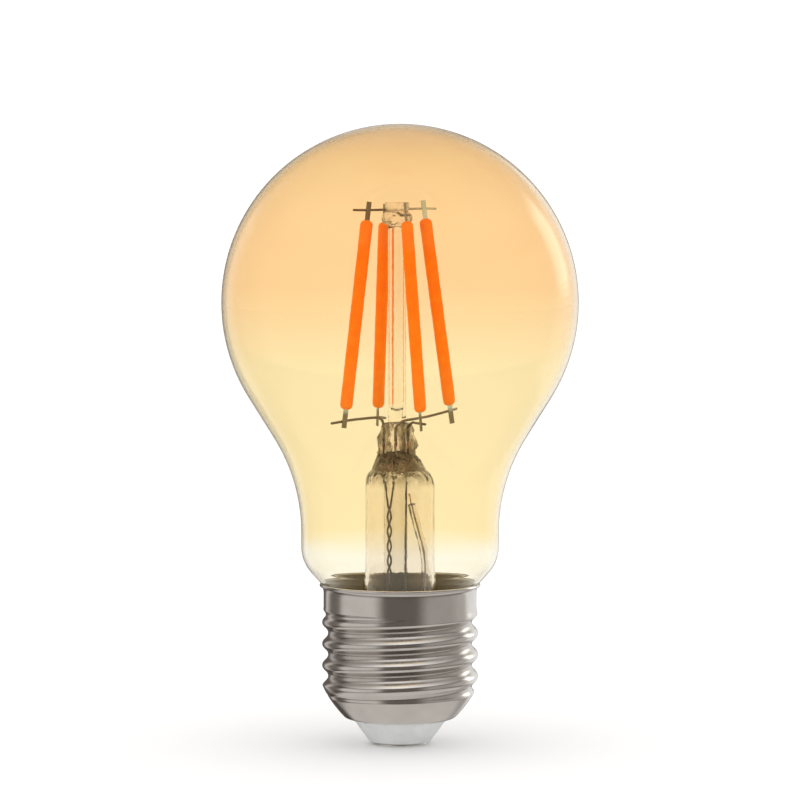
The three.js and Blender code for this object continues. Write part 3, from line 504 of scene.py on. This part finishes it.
cap = {
    "pitch": 25.4 / 7,      # seven threads to the inch
    "crestRadius": 13.1,
    "depth": 1.0,
    "crestZ": 15.1,         # height of one crest on the +X side
    "plainBand": 5.8,       # from the top of the full thread to the rim
    "fullness": 0.2,        # how far the crests and roots are filled out
    "fade": 2.2,            # the thread's height from full to nothing
    "footRise": 1,          # the thread starts this far above the lower edge
    "wall": 0.22,
    "lip": 0.25,
    "lipAngles": (-0.9, 2.6),
    "lipSteps": 12,
    "bandRadius": 12.85,
    "taperZ": 10,           # the lower cone's top
    "edgeRadius": 8.0,
    "columns": 192,
}


# Pushes the wall in where the thread's groove runs. The groove climbs one pitch a turn and
# fades out above the thread; its wave is a cosine with its crests and roots filled out.
def rollThread(grid, outer):
    z = grid[..., 2]
    angle = np.arctan2(grid[..., 1], grid[..., 0])
    threadTop = rimZ - cap["plainBand"]
    turns = (z - cap["crestZ"]) / cap["pitch"] - angle / (2 * math.pi)
    wave = np.cos(2 * math.pi * turns)
    groove = 0.5 - 0.5 * ((1 + cap["fullness"]) * wave - cap["fullness"] * wave ** 3)
    t = np.clip((z - threadTop) / cap["fade"], 0, 1)
    depth = cap["depth"] * (1 - t * t * (3 - 2 * t))
    plain = np.interp(z, outer[:, 1], outer[:, 0])
    shift = np.minimum(0, cap["crestRadius"] - depth * groove - plain)
    shift[z > threadTop + cap["fade"]] = 0
    radius = np.hypot(grid[..., 0], grid[..., 1])
    scale = np.where(z > capLow[2] + cap["footRise"], 1 + shift / radius, 1)
    grid[..., :2] *= scale[..., None]
    return grid


# The cap's outside from its lower edge up: a rolled edge, the lower cone, the band that the
# thread is rolled in, the flare and the lip.
def capOutline():
    edgeZ, edge = capLow[2], cap["edgeRadius"]
    threadTop = rimZ - cap["plainBand"]
    tilt = bulb["shoulderAngle"]
    lipRadius = capHigh[0]
    flareZ = rimZ - (lipRadius - cap["bandRadius"]) / math.tan(tilt)
    t = np.linspace(0, 1, 90)[1:]
    z = cap["taperZ"] + t * (threadTop + cap["fade"] - cap["taperZ"])
    s = np.clip((z - threadTop) / cap["fade"], 0, 1)
    radius = cap["crestRadius"] + (cap["bandRadius"] - cap["crestRadius"]) * s * s * (3 - 2 * s)
    return np.vstack([
        bend((edge, edgeZ), (edge + 1.1, edgeZ + 0.03), (edge + 1.5, edgeZ + 0.45), 6),
        bend((edge + 1.5, edgeZ + 0.45), (cap["crestRadius"] - 1.1, cap["taperZ"] - 2.6),
             (cap["crestRadius"], cap["taperZ"]), 24)[1:],
        np.stack([radius, z], -1),
        bend((cap["bandRadius"], flareZ - 0.7), (cap["bandRadius"], flareZ - 0.1),
             (cap["bandRadius"] + 0.2, flareZ + 0.25), 8),
        arc(lipRadius - cap["lip"], capHigh[2] - cap["lip"], cap["lip"], *cap["lipAngles"],
            cap["lipSteps"]),
    ])


# The inside is the outside moved in by the wall. It ends below the lip, which is rolled over.
capOutside = capOutline()
along = unit(np.gradient(capOutside, axis=0))
capInside = capOutside + cap["wall"] * np.stack([-along[:, 1], along[:, 0]], -1)
capInside = capInside[:-cap["lipSteps"] - 1]
capGrid = turned(np.vstack([capOutside, capInside[::-1]]), cap["columns"])
screwCap = skin("screwCap", rollThread(capGrid, capOutside), nickelPlate,
                ["cap_shell"], ringed=True)

# Each point of the cap says whether it gets the painted shade of the inside: the inside only.
sheltered = np.zeros(len(capOutside) + len(capInside))
sheltered[len(capOutside):] = 1
fluxed = screwCap.data.attributes.new("fluxed", "FLOAT", "POINT")
fluxed.data.foreach_set("value", np.repeat(sheltered, cap["columns"]))

insulator = {
    "faceRadius": 5.1,
    "bore": 1.42,
    "edge": 0.35,
    "capGap": 0.12,         # between the insulator and the cap's lower edge
    "plugSpread": 2.3,      # how far it widens above that edge
    "columns": 96,
}
insulatorLow, insulatorHigh = boxOf("cap_insulator")
coneRadius = cap["edgeRadius"] - insulator["capGap"]
insulatorOutline = eased([
    (insulator["bore"], insulatorLow[2]),
    (insulator["faceRadius"], insulatorLow[2]),
    (coneRadius, capLow[2] - 0.1),
    (coneRadius, capLow[2] + 0.5),
    (coneRadius + insulator["plugSpread"], insulatorHigh[2]),
    (insulator["bore"], insulatorHigh[2]),
], insulator["edge"], 6, ringed=True)
skin("capInsulator", turned(insulatorOutline, insulator["columns"]), insulatorGrey,
     ["cap_insulator"], ringed=True)

contact = {"thickness": 0.4, "rivetRadius": 1.3, "lip": 0.18, "columns": 72}
contactLow, contactHigh = boxOf("centre_contact")
contactOutline = eased([
    (0, contactLow[2]),
    (contactHigh[0], contactLow[2]),
    (contactHigh[0], contact["thickness"]),
    (contact["rivetRadius"], contact["thickness"]),
    (contact["rivetRadius"], contactHigh[2]),
    (0, contactHigh[2]),
], contact["lip"], 4)
skin("centreContact", turned(contactOutline, contact["columns"]), tinnedBrass,
     ["centre_contact"])
print("screw cap made")

filament = {
    "width": 2.15,
    "thickness": 2.05,
    "endRound": 0.95,
    "dome": 2.4,            # power of the ends' curve: 2 is round and more is blunter
    "lump": 0.045,          # how much thinner it is at its thinnest ripple
    "rows": 150,
    "columns": 40,
}
sides = ("front_left", "back_left", "front_right", "back_right")


# The corners of a CAD node in millimetres, each once.
def cornersOf(node):
    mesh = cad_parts[node].data
    points = np.empty(len(mesh.vertices) * 3, np.float32)
    mesh.vertices.foreach_get("co", points)
    return np.unique(np.round(points.reshape(-1, 3) / mm, 3), axis=0)


# A filament's own axes, up its strip and out of its flat side, and the point at the foot of
# its lit body. The strip's corners spread most along it and least through it.
def filamentAxes(side):
    strip = cornersOf(f"filament_{side}_substrate")
    middle = strip.mean(0)
    up, _, flat = np.linalg.svd(strip - middle, full_matrices=False)[2]
    up = up * np.sign(up[2])
    body = cornersOf(f"filament_{side}_phosphor")
    heights = (body - middle) @ up
    depths = (body - middle) @ flat
    centreDepth = (depths.max() + depths.min()) / 2
    foot = middle + heights.min() * up + centreDepth * flat
    return {"foot": foot, "up": up, "flat": flat * np.sign(centreDepth),
            "length": heights.max() - heights.min()}


# A rod of silicone round the strip: an oval section that closes at both ends in a dome, with
# slow ripples in its girth from the way that it was poured.
def makeFilament(side, seed):
    own = filamentAxes(side)
    length = own["length"]
    spots = length * (0.5 - 0.5 * np.cos(np.linspace(0, math.pi, filament["rows"])))
    ends = np.clip(np.minimum(spots, length - spots) / filament["endRound"], 0, 1)
    girth = (1 - (1 - ends) ** filament["dome"]) ** (1 / filament["dome"])
    wave = (np.sin(spots * 0.9 + seed) + 0.6 * np.sin(spots * 2.3 + 2.7 * seed)
            + 0.5 * np.sin(spots * 4.9 + 1.3 * seed))
    girth = girth * (1 - filament["lump"] * (0.5 - 0.24 * wave))
    path = own["foot"] + spots[:, None] * own["up"]
    section = circle(0.5, filament["columns"]) * (filament["width"], filament["thickness"])
    grid = carried(path, section, girth, own["flat"])
    skin(f"filament_{side}", grid, orangePhosphor, [f"filament_{side}_phosphor"])


for number, side in enumerate(sides):
    makeFilament(side, 1.7 * number)
print("filaments made")

stem = {
    "tubeRadius": 5.8,
    "wall": 0.65,
    "flareHeight": 11,
    "flareRows": 18,
    "shoulderHeight": 5.2,
    "pressHeight": 6.8,
    "pressWidth": 6.4,
    "pressThickness": 3.4,
    "pressX": -0.5,
    "crownDrop": 1.4,       # how much lower the rim of the pinched glass's rounded top lies
    "crownPower": 1.6,
    "neckRise": 1.4,        # from the pinched glass's foot up to where the neck widens
    "ceilingRise": 0.6,     # of the dome that closes the tube's bore
    "columns": 96,
}
pressTopZ = stemHigh[2]
pressBottomZ = pressTopZ - stem["pressHeight"]
flareRim = stemHigh[0]


# The stem's sections, one to a row: half widths along x and y, height, how square the section
# is (2 is an ellipse) and how far its middle lies off the axis.
def sections(wide, deep, z, square, middle):
    return np.stack(np.broadcast_arrays(wide, deep, z, square, middle), -1)


# The outside from the top of the pinched glass down to the flare's rim: a rounded top, the
# pinched glass, a neck and a shoulder that widen to the tube, the tube and the flare.
def stemRows():
    radius, pressX = stem["tubeRadius"], stem["pressX"]
    halfWidth, halfDepth = stem["pressWidth"] / 2, stem["pressThickness"] / 2
    neckZ = pressBottomZ + stem["neckRise"]
    lowZ = neckZ - stem["shoulderHeight"]
    flareZ = stemLow[2] + stem["flareHeight"]

    rise = np.linspace(0, 1, 9)
    dome = np.sqrt(1 - (1 - rise) ** 2)
    domeZ = pressTopZ - stem["crownDrop"] * rise ** stem["crownPower"]
    pressZ = np.arange(pressTopZ - stem["crownDrop"] - 0.5, pressBottomZ + 2.2, -0.4)

    neck = bend((halfWidth, neckZ + 0.6), (halfWidth, neckZ), (halfWidth + 0.5, neckZ - 0.8), 6)
    shoulder = bend((radius - 1.2, pressBottomZ - 1.3), (radius, lowZ + 1.6), (radius, lowZ), 10)
    wide, z = np.vstack([neck, shoulder]).T
    t = (neckZ + 0.6 - z) / (neckZ + 0.6 - lowZ)
    deep = wide - (halfWidth - halfDepth) * (1 - t) ** 2

    tubeZ = np.linspace(lowZ - 1, flareZ, 12)

    # The flare is a cubic curve: it leaves the tube upright and ends at the rim.
    u = np.linspace(0, 1, stem["flareRows"])[1:, None]
    start, end = np.array([radius, flareZ]), np.array([flareRim, stemLow[2]])
    leave = np.array([radius + 0.4, stemLow[2] + 0.4 * stem["flareHeight"]])
    meet = np.array([0.76 * flareRim, stemLow[2] + 0.13 * stem["flareHeight"]])
    flare = ((1 - u) ** 3 * start + 3 * u * (1 - u) ** 2 * leave + 3 * u * u * (1 - u) * meet
             + u ** 3 * end)
    return np.vstack([
        sections(halfWidth * dome, halfDepth * dome, domeZ, 2.6, pressX),
        sections(halfWidth, halfDepth, pressZ, 3.0, pressX),
        sections(wide, deep, z, 3.0 - t, pressX * (1 - t)),
        sections(radius, radius, tubeZ, 2.0, 0),
        sections(flare[:, 0], flare[:, 0], flare[:, 1], 2.0, 0),
    ])


# A closed ring for each section: x = a |cos|^(2/n), y = b |sin|^(2/n), with their signs kept.
def ovals(rows, columns):
    c, s = circle(1, columns).T
    power = 2 / rows[:, 3:4]
    grid = np.empty((len(rows), columns, 3))
    grid[..., 0] = rows[:, 4:5] + rows[:, :1] * np.sign(c) * np.abs(c) ** power
    grid[..., 1] = rows[:, 1:2] * np.sign(s) * np.abs(s) ** power
    grid[..., 2] = rows[:, 2:3]
    return grid


# What the pincers left: upright grooves, each at an x with a width and a depth; waves, each
# with a size, a count round the stem, a climb with height and a phase; and lobes at the sides.
pincers = {
    "grooves": [(0.55, 0.75, 0.42), (-2.0, 0.5, 0.22)],
    "waves": [(0.035, 3, 1.9, 0), (0.03, 5, -2.6, 1), (0.025, 9, 4.3, 0), (0.02, 13, -5.9, 0)],
    "lobe": 0.10,
    "lobeLength": 5.2,
    "fade": 2.4,
}


# The marks fade out below the pinched glass: the waves first show 1.4 mm below its foot, and
# the grooves and lobes 0.6 mm above it.
def pinch(grid):
    x, y, z = grid[..., 0], grid[..., 1], grid[..., 2]
    reach = np.clip((z - pressBottomZ + 1.4) / pincers["fade"], 0, 1)
    reach = reach * reach * (3 - 2 * reach)
    high = np.clip((z - pressBottomZ - 0.6) / pincers["fade"], 0, 1)
    angle = np.arctan2(y, x - stem["pressX"])
    groove = sum(np.exp(-((x - place) / width) ** 2) * depth
                 for place, width, depth in pincers["grooves"])
    waves = sum(size * np.sin(count * angle + climb * z + phase)
                for size, count, climb, phase in pincers["waves"])
    turns = (z - pressBottomZ) * 2 * math.pi / pincers["lobeLength"]
    lobes = pincers["lobe"] * np.sin(turns - 2.2)
    grid = grid.copy()
    grid[..., 0] = x + (x - stem["pressX"]) * (waves * reach + (lobes - 0.05) * high)
    grid[..., 1] = y * (1 + waves * reach - groove * high)
    return grid


# The bore is the outside moved in by the wall, from the rim up, and ends in a low dome.
stemOuter = stemRows()
bore = stemOuter[stemOuter[:, 2] < pressBottomZ - 0.9][::-1].copy()
bore[:, :2] -= stem["wall"]
share = np.array([0.9, 0.7, 0.4, 0])
ceilingZ = bore[-1, 2] + stem["ceilingRise"] * (1 - share * share)
ceiling = sections(share * bore[-1, 0], share * bore[-1, 1], ceilingZ, 2.0, 0)
stemGrid = pinch(ovals(np.vstack([stemOuter, bore, ceiling]), stem["columns"]))
skin("stemTube", stemGrid, pinchedGlass, ["stem_tube"])

# The pillar is a thick tube whose bore ends above a solid foot.
pillar = {"wall": 0.55, "chamfer": 0.1, "footHeight": 1.6, "columns": 48}
pillarLow, pillarHigh = boxOf("support_pillar")
pillarX = (pillarLow[0] + pillarHigh[0]) / 2
pillarRadius = (pillarHigh[0] - pillarLow[0]) / 2
pillarBore = pillarRadius - pillar["wall"]
pillarOutline = np.vstack([
    [(0, pillarLow[2]), (pillarRadius - pillar["chamfer"], pillarLow[2]),
     (pillarRadius, pillarLow[2] + pillar["chamfer"]), (pillarRadius, pillarHigh[2]),
     (pillarBore, pillarHigh[2])],
    arc(0, pillarLow[2] + pillar["footHeight"] + pillarBore, pillarBore, 0, -math.pi / 2, 10),
])
pillarGrid = turned(filled(pillarOutline, 1.0), pillar["columns"], (pillarX, 0))
skin("supportPillar", pillarGrid, stemGlass, ["support_pillar"])

# A bead of glass is melted round the pillar's top: it bulges low down, under a short collar.
bead = {"footRadius": 1.5, "bulge": 1.1, "bulgeRise": 1.25, "edge": 0.12, "columns": 64}
beadLow, beadHigh = boxOf("pillar_bead")
beadZ, beadTop = beadLow[2], beadHigh[2]
collar = [(1.8, beadTop - 1.25), (2.02, beadTop - 1.1), (2.05, beadTop), (0, beadTop)]
beadOutline = np.vstack([
    [(0, beadZ), (bead["footRadius"], beadZ)],
    arc(bead["footRadius"], beadZ + bead["bulgeRise"], bead["bulge"],
        -math.radians(60), math.radians(65), 12),
    eased(collar, bead["edge"], 3),
])
beadOutline[-1, 0] = 0
skin("pillarBead", turned(beadOutline, bead["columns"], (pillarX, 0)), beadGlass,
     ["pillar_bead"])

# The air was drawn out through a tube, which was then melted shut at its lower end.
exhaust = {"wall": 0.45, "tipRise": 0.6, "columns": 48}
exhaustLow, exhaustHigh = boxOf("exhaust_tube")
exhaustRadius = (exhaustHigh[0] - exhaustLow[0]) / 2
exhaustMiddle = (exhaustHigh[:2] + exhaustLow[:2]) / 2
exhaustBore = exhaustRadius - exhaust["wall"]
tipZ = exhaustLow[2] + exhaustRadius
exhaustOutline = np.vstack([
    arc(0, tipZ, exhaustRadius, -math.pi / 2, 0, 10),
    [(exhaustRadius, exhaustHigh[2]), (exhaustBore, exhaustHigh[2])],
    arc(0, tipZ + exhaust["tipRise"], exhaustBore, 0, -math.pi / 2, 8),
])
exhaustOutline[[0, -1], 0] = 0
exhaustGrid = turned(filled(exhaustOutline, 1.5), exhaust["columns"], exhaustMiddle)
skin("exhaustTube", exhaustGrid, stemGlass, ["exhaust_tube"])
print("glass stem made")

wiring = {
    "supportRadius": 0.2,
    "leadRadius": 0.22,
    "sealRadius": 0.18,
    "outerRadius": 0.17,
    "antennaRadius": 0.14,
    "sleeveRadius": 0.65,
    "sleeveBore": 0.5,
    "gap": 0.06,            # between a wire and what it is welded to
    "boardGap": 0.12,       # between a wire's end and the driver board
    "sealY": -1.2,
    "sealRise": 3.4,        # how far the seal wires reach up into the pinched glass
    "sealDrop": 0.15,       # how far they stand out below it
    "twistX": -1.75,
    "twistRadius": 0.3,
    "twistGap": 0.85,       # between the twisted wires and the exhaust tube
    "twistTurns": 4,
    "step": 0.25,           # between a wire's rows
    "columns": 12,
}
# Heights of the welds above a filament's lit body, at its head, and below it, at its foot.
headWelds = {"outer": 1.7, "inner": 1.0}
footWelds = {"front_left": -2.0, "back_right": -0.9, "front_right": -1.9, "back_left": -1.6}
sealX = {"left": stem["pressX"] - 2.2, "centre": stem["pressX"] - 0.25,
         "right": stem["pressX"] + 1.85}


# A round wire along a smooth curve through the points. Its girth closes to nothing at both
# ends along a quarter of a circle, so the ends are domes.
def wire(name, points, radius, finish, replaces):
    path = smoothPath(points, wiring["step"])
    length = lengthAlong(path)
    dome = radius * np.array([0, 0.04, 0.15, 0.35, 0.65, 1.0])
    spots = np.r_[dome, length[(length > 1.2 * radius) & (length < length[-1] - 1.2 * radius)],
                  length[-1] - dome[::-1]]
    path = pointsAt(spots, length, path)
    ends = np.clip(np.minimum(spots, length[-1] - spots) / radius, 0, 1)
    girth = np.sqrt(1 - (1 - ends) ** 2)
    skin(name, carried(path, circle(radius, wiring["columns"]), girth), finish, replaces)


# A wire crosses a filament along the level line from that filament's head to the head that
# its support joins it to.
filaments = {side: filamentAxes(side) for side in sides}
heads = {side: own["foot"] + own["length"] * own["up"] for side, own in filaments.items()}


def levelRun(fromSide, toSide):
    return unit((heads[toSide] - heads[fromSide]) * (1, 1, 0))


runs = {"front_left": levelRun("front_left", "back_right"),
        "back_left": levelRun("back_left", "front_right")}
runs["back_right"] = runs["front_left"]
runs["front_right"] = runs["back_left"]


# Two points of a wire that is welded across a tab, at a height along the filament: they lie
# before and after the weld, and slope is the wire's rise.
def crossing(side, along, radius, before, after, slope=0.0):
    own = filaments[side]
    weld = own["foot"] + along * own["up"] + (radius + wiring["gap"]) * own["flat"]
    direction = runs[side] + (0, 0, slope)
    return [weld - before * direction, weld + after * direction]


def makeSupports():
    radius = wiring["supportRadius"]
    length = filaments["front_left"]["length"]
    outerWeld, innerWeld = length + headWelds["outer"], length + headWelds["inner"]
    outer = [*crossing("front_left", outerWeld, radius, 2.7, 0),
             *crossing("back_right", outerWeld, radius, 0, 2.5)]
    inner = [*crossing("back_left", innerWeld, radius, 1.6, 0),
             *crossing("front_right", innerWeld, radius, 0, 1.2)]
    wire("supportWireOuter", outer, radius, wireNickel, ["support_wire_outer"])
    wire("supportWireInner", inner, radius, wireNickel, ["support_wire_inner"])


# Each lead bends out of the pinched glass, over its edge, and across a filament's foot tab.
# The back left filament's is an arm of the front left one's.
def makeLeads():
    radius, y = wiring["leadRadius"], wiring["sealY"]
    startZ = pressBottomZ + wiring["sealRise"] + wiring["gap"]
    front = -stem["pressThickness"] / 2 - 0.5
    left = [(sealX["left"], y, startZ), (sealX["left"], y, pressTopZ - 1.1),
            (sealX["left"] - 0.5, y - 0.1, pressTopZ + 0.5),
            *crossing("front_left", footWelds["front_left"], radius, 2.4, 3.0, 0.12)[::-1]]
    centre = [(sealX["centre"], y, startZ), (sealX["centre"], y - 0.5, pressTopZ - 2.0),
              (sealX["centre"] + 0.1, front, pressTopZ - 0.9),
              (sealX["centre"] + 1.1, front, pressTopZ + 0.1),
              (sealX["right"] + 1.2, -0.7, pressTopZ + 0.5),
              *crossing("back_right", footWelds["back_right"], radius, 3.6, 1.5, 0.22)]
    right = [(sealX["right"], y, startZ), (sealX["right"], y, pressTopZ - 1.1),
             (sealX["right"] + 0.6, y - 1.6, pressTopZ - 0.1),
             *crossing("front_right", footWelds["front_right"], radius, 3.0, 1.3)]
    arm = [np.add(left[2], (-0.6, 0.8, 0.3)), (sealX["left"] - 1.2, 3.0, pressTopZ + 0.5),
           *crossing("back_left", footWelds["back_left"], radius, 1.4, 3.0)[::-1]]
    leads = {"front_left": left, "back_right": centre, "front_right": right, "back_left": arm}
    for side, points in leads.items():
        wire(f"leadWire_{side}", points, radius, wireNickel,
             [f"lead_wire_{side}"])
    for place, x in sealX.items():
        points = [(x, y, pressBottomZ - wiring["sealDrop"]), (x, y, startZ)]
        wire(f"sealWire_{place}", points, wiring["sealRadius"], sealCopper,
             [f"seal_wire_{place}"])


boardTop = boxOf("driver_board")[1][2]


# The left and the centre lead are twisted round each other: a helix of a few whole turns
# between a straight start and a straight end.
def makeOuterLeads():
    radius, y = wiring["outerRadius"], wiring["sealY"]
    startZ = pressBottomZ - wiring["sealDrop"] - wiring["gap"]
    endZ = boardTop + wiring["boardGap"]
    twistY = exhaustMiddle[1] - exhaustRadius - wiring["twistRadius"] - wiring["twistGap"]
    middle = np.array([wiring["twistX"], twistY])
    turn = np.linspace(0, 2 * math.pi * wiring["twistTurns"], 6 * wiring["twistTurns"] + 1)
    for place, phase, foot in (("left", math.pi, -1.2), ("centre", 0, 1.2)):
        helix = np.stack([
            middle[0] + wiring["twistRadius"] * np.cos(turn + phase),
            middle[1] + wiring["twistRadius"] * np.sin(turn + phase),
            np.linspace(startZ - 6.4, boardTop + 3.5, len(turn))], -1)
        points = [(sealX[place], y, startZ), (sealX[place], y - 0.15, startZ - 0.8), *helix,
                  (middle[0] + foot, middle[1] - 0.4, endZ + 1.2),
                  (middle[0] + foot, middle[1] - 0.4, endZ)]
        wire(f"outerLead_{place}", points, radius, enamelWire,
             [f"outer_lead_{place}"])
    points = [(sealX["right"], y, startZ), (sealX["right"] - 0.1, y - 0.1, startZ - 1),
              (1.05, -1.2, startZ - 5), (1.0, -1.3, endZ + 6), (1.3, -1.6, endZ)]
    wire("outerLead_right", points, radius, enamelWire, ["outer_lead_right"])


# The antenna is a bare wire down the right of the tube, in a sleeve except at its two ends.
def makeAntenna():
    reach = stem["tubeRadius"] - stem["wall"] - wiring["sleeveRadius"] - 0.4
    y = -0.8
    run = [(1.9, y - 0.4, pressBottomZ - 7.0), (2.9, y - 0.2, pressBottomZ - 11),
           (reach - 0.1, y, pressBottomZ - 15.5), (reach, y - 0.3, boardTop + 7),
           (reach - 0.4, y - 0.6, boardTop + 3)]
    points = [(1.5, y - 0.5, pressBottomZ - 5.2), *run,
              (reach - 0.5, y - 0.7, boardTop + wiring["boardGap"])]
    wire("antennaWire", points, wiring["antennaRadius"], antennaCopper,
         ["antenna_wire"])
    path = smoothPath(run, 0.3)
    outer = carried(path, circle(wiring["sleeveRadius"], 24), 1.0)
    inner = carried(path, circle(wiring["sleeveBore"], 24), 1.0)
    skin("antennaSleeve", np.concatenate([outer, inner[::-1]]), paleSleeve,
         ["antenna_sleeve"], ringed=True)


makeSupports()
makeLeads()
makeOuterLeads()
makeAntenna()
print("wires made")

# The other pieces keep their shapes and only get a finish, by the start of the piece's name.
keptFinishes = {
    "cap_cement": cementGrey, "centre_contact_lead": wireNickel, "side_contact_lead": wireNickel,
    "fusible_resistor": resistorSkin, "resistor_sleeve": shrinkSleeve, "driver_board": boardGreen,
    "bridge_rectifier": chipBlack, "driver_chip": chipBlack, "smoothing_capacitor": capacitorSkin,
    "capacitor_bung": bungRubber, "inductor_core": ferriteBlack, "inductor_winding": windingCopper,
    "module_board": moduleGreen, "wireless_chip": chipBlack, "module_crystal": crystalCan,
}
filamentFinishes = {"substrate": ceramicStrip, "chips": chipYellow, "foot_tab": tabSteel,
                    "head_tab": tabSteel}
for side in sides:
    for part, finish in filamentFinishes.items():
        keptFinishes[f"filament_{side}_{part}"] = finish
for name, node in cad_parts.items():
    for start, finish in keptFinishes.items():
        if name.startswith(start):
            node.data.materials.clear()
            node.data.materials.append(finish)
print("kept pieces finished")

# Lengths here are in metres, and angles in degrees.
room = {
    "floorWidth": 6.0,
    "world": 1.13,
    "tentRadius": 1.3,
    "sky": 1.15,            # brightness of the tent's upper opening, at its brightest
    "skyBehind": 0.15,      # share of that brightness on the side away from the camera
    "ground": 0.72,         # brightness of the lower opening
    "opening": (33, 39),    # the openings set in between these heights above and below level
    "skirt": (20, 25),      # the panels get darker between these
    "skirtShade": 0.55,
}
floorMesh = bpy.data.meshes.new("floor")
half = room["floorWidth"] / 2
floorMesh.from_pydata([(-half, -half, 0), (half, -half, 0), (half, half, 0), (-half, half, 0)],
                      [], [(0, 1, 2, 3)])
floor = put("floor", floorMesh)
floorPaper = Finish("floorPaper", roughness=0.9)
cloud = floorPaper.noise(0.02, 2)
floorPaper.set(baseColor=floorPaper.blend(cloud, (0.975, 0.975, 0.975), (0.99, 0.99, 0.99)))
floorMesh.materials.append(floorPaper.material)
floor.visible_glossy = False

world = bpy.data.worlds.new("studio")
bpy.context.scene.world = world
world.use_nodes = True
backdrop = world.node_tree.nodes["Background"]
backdrop.inputs["Color"].default_value = (1, 1, 1, 1)
backdrop.inputs["Strength"].default_value = room["world"]

topLight = bpy.data.lights.new("topLight", "AREA")
topLight.shape = "DISK"
topLight.size = 1.6
topLight.energy = 1.9
topLamp = put("topLight", topLight)
topLamp.location = (0.2, -0.3, 1.8)
topLamp.visible_glossy = False

# Panels round the lamp that only its gloss shows: compass angle of each edge, seen from above
# with 0 at the camera, and how bright it is.
panels = [
    (-180, -176, 0.5), (-172, -152, 0.14), (-147, -141, 0.7), (-128, -106, 0.20),
    (-96, -40, 0.74), (-24, 24, 0.17), (42, 80, 0.46), (96, 112, 0.56), (121, 162, 1.0),
    (168, 174, 0.3), (177, 180, 0.5),
]
# A tall bright window in the tent, on the right behind the lamp.
window = {"compass": (118, 142), "rise": (1, 34), "soft": 7, "colour": (3.0, 2.9, 2.7)}


# The tent is a ball round the lamp, and its shade depends on the compass angle, except near
# its top and bottom, which are open. The panels get darker towards both openings, and the
# upper opening is brightest towards the camera's side. A shade of 2 is the window's colour.
def makeTent():
    columns, rows = 180, 90
    compass = np.linspace(-180, 180, columns, endpoint=False)
    rise = np.linspace(-90, 90, rows + 1)
    angle, lift = np.radians(compass)[None, :], np.radians(rise)[:, None]
    points = room["tentRadius"] * np.stack([
        np.cos(lift) * np.sin(angle), -np.cos(lift) * np.cos(angle),
        np.sin(lift) * np.ones_like(angle)], -1)
    index = np.arange((rows + 1) * columns).reshape(rows + 1, columns)
    faces = np.stack([index[:-1], np.roll(index[:-1], -1, 1),
                      np.roll(index[1:], -1, 1), index[1:]], -1).reshape(-1, 4)
    mesh = bpy.data.meshes.new("tent")
    mesh.from_pydata(points.reshape(-1, 3).tolist(), [], faces.tolist())
    edges = [edge for panel in panels for edge in panel[:2]]
    levels = [panel[2] for panel in panels for edge in panel[:2]]
    around = np.interp(compass, edges, levels)
    height = np.abs(rise[:-1, None])
    opened = np.interp(height, room["opening"], (0, 1))
    skirt = 1 - room["skirtShade"] * np.interp(height, room["skirt"], (0, 1))
    facing = 0.5 + 0.5 * np.cos(np.radians(compass))
    facing = room["skyBehind"] + (1 - room["skyBehind"]) * facing
    top = np.where(rise[:-1, None] > 0, room["sky"] * facing, room["ground"])
    level = around * skirt * (1 - opened) + top * opened
    fromSide = np.minimum(compass - window["compass"][0], window["compass"][1] - compass)
    fromEnd = np.minimum(rise - window["rise"][0], window["rise"][1] - rise)[:-1, None]
    pane = np.clip(fromSide / window["soft"], 0, 1) * np.clip(fromEnd / window["soft"], 0, 1)
    level = level + (2 - level) * pane
    shade = mesh.attributes.new("shade", "FLOAT", "FACE")
    shade.data.foreach_set("value", level.ravel())
    cloth = Finish("tentCloth", baseColor=(0, 0, 0), roughness=1.0, specularIorLevel=0.0,
                   emissionStrength=1.0)
    value = cloth.node("Attribute", {"attribute_name": "shade"}, {}, "Fac")
    stops = [(0, (0, 0, 0)), (0.13, (0.13, 0.108, 0.095)), (0.7, (0.7, 0.68, 0.655)),
             (1, (1, 1, 1))]
    warm = cloth.node("ValToRGB", {"stops": stops}, {0: value}, "Color")
    lit = cloth.ramp(value, 1.0, 2.0)
    cloth.set(emissionColor=cloth.blend(lit, warm, window["colour"]))
    mesh.materials.append(cloth.material)
    tent = put("tent", mesh)
    for ray in ("camera", "diffuse", "transmission", "shadow", "volume_scatter"):
        setattr(tent, "visible_" + ray, False)


makeTent()

view = {"place": (0, -0.6, 0.0865), "aim": (0, 0, 0.0579), "lens": 161.2}
camera = put("camera", bpy.data.cameras.new("camera"))
camera.location = view["place"]
gaze = Vector(view["aim"]) - Vector(view["place"])
camera.rotation_euler = gaze.to_track_quat("-Z", "Y").to_euler()
camera.data.lens = view["lens"]
camera.data.sensor_width = 36
bpy.context.scene.camera = camera
bpy.context.scene.view_settings.view_transform = "Standard"
print("room, light and camera made")
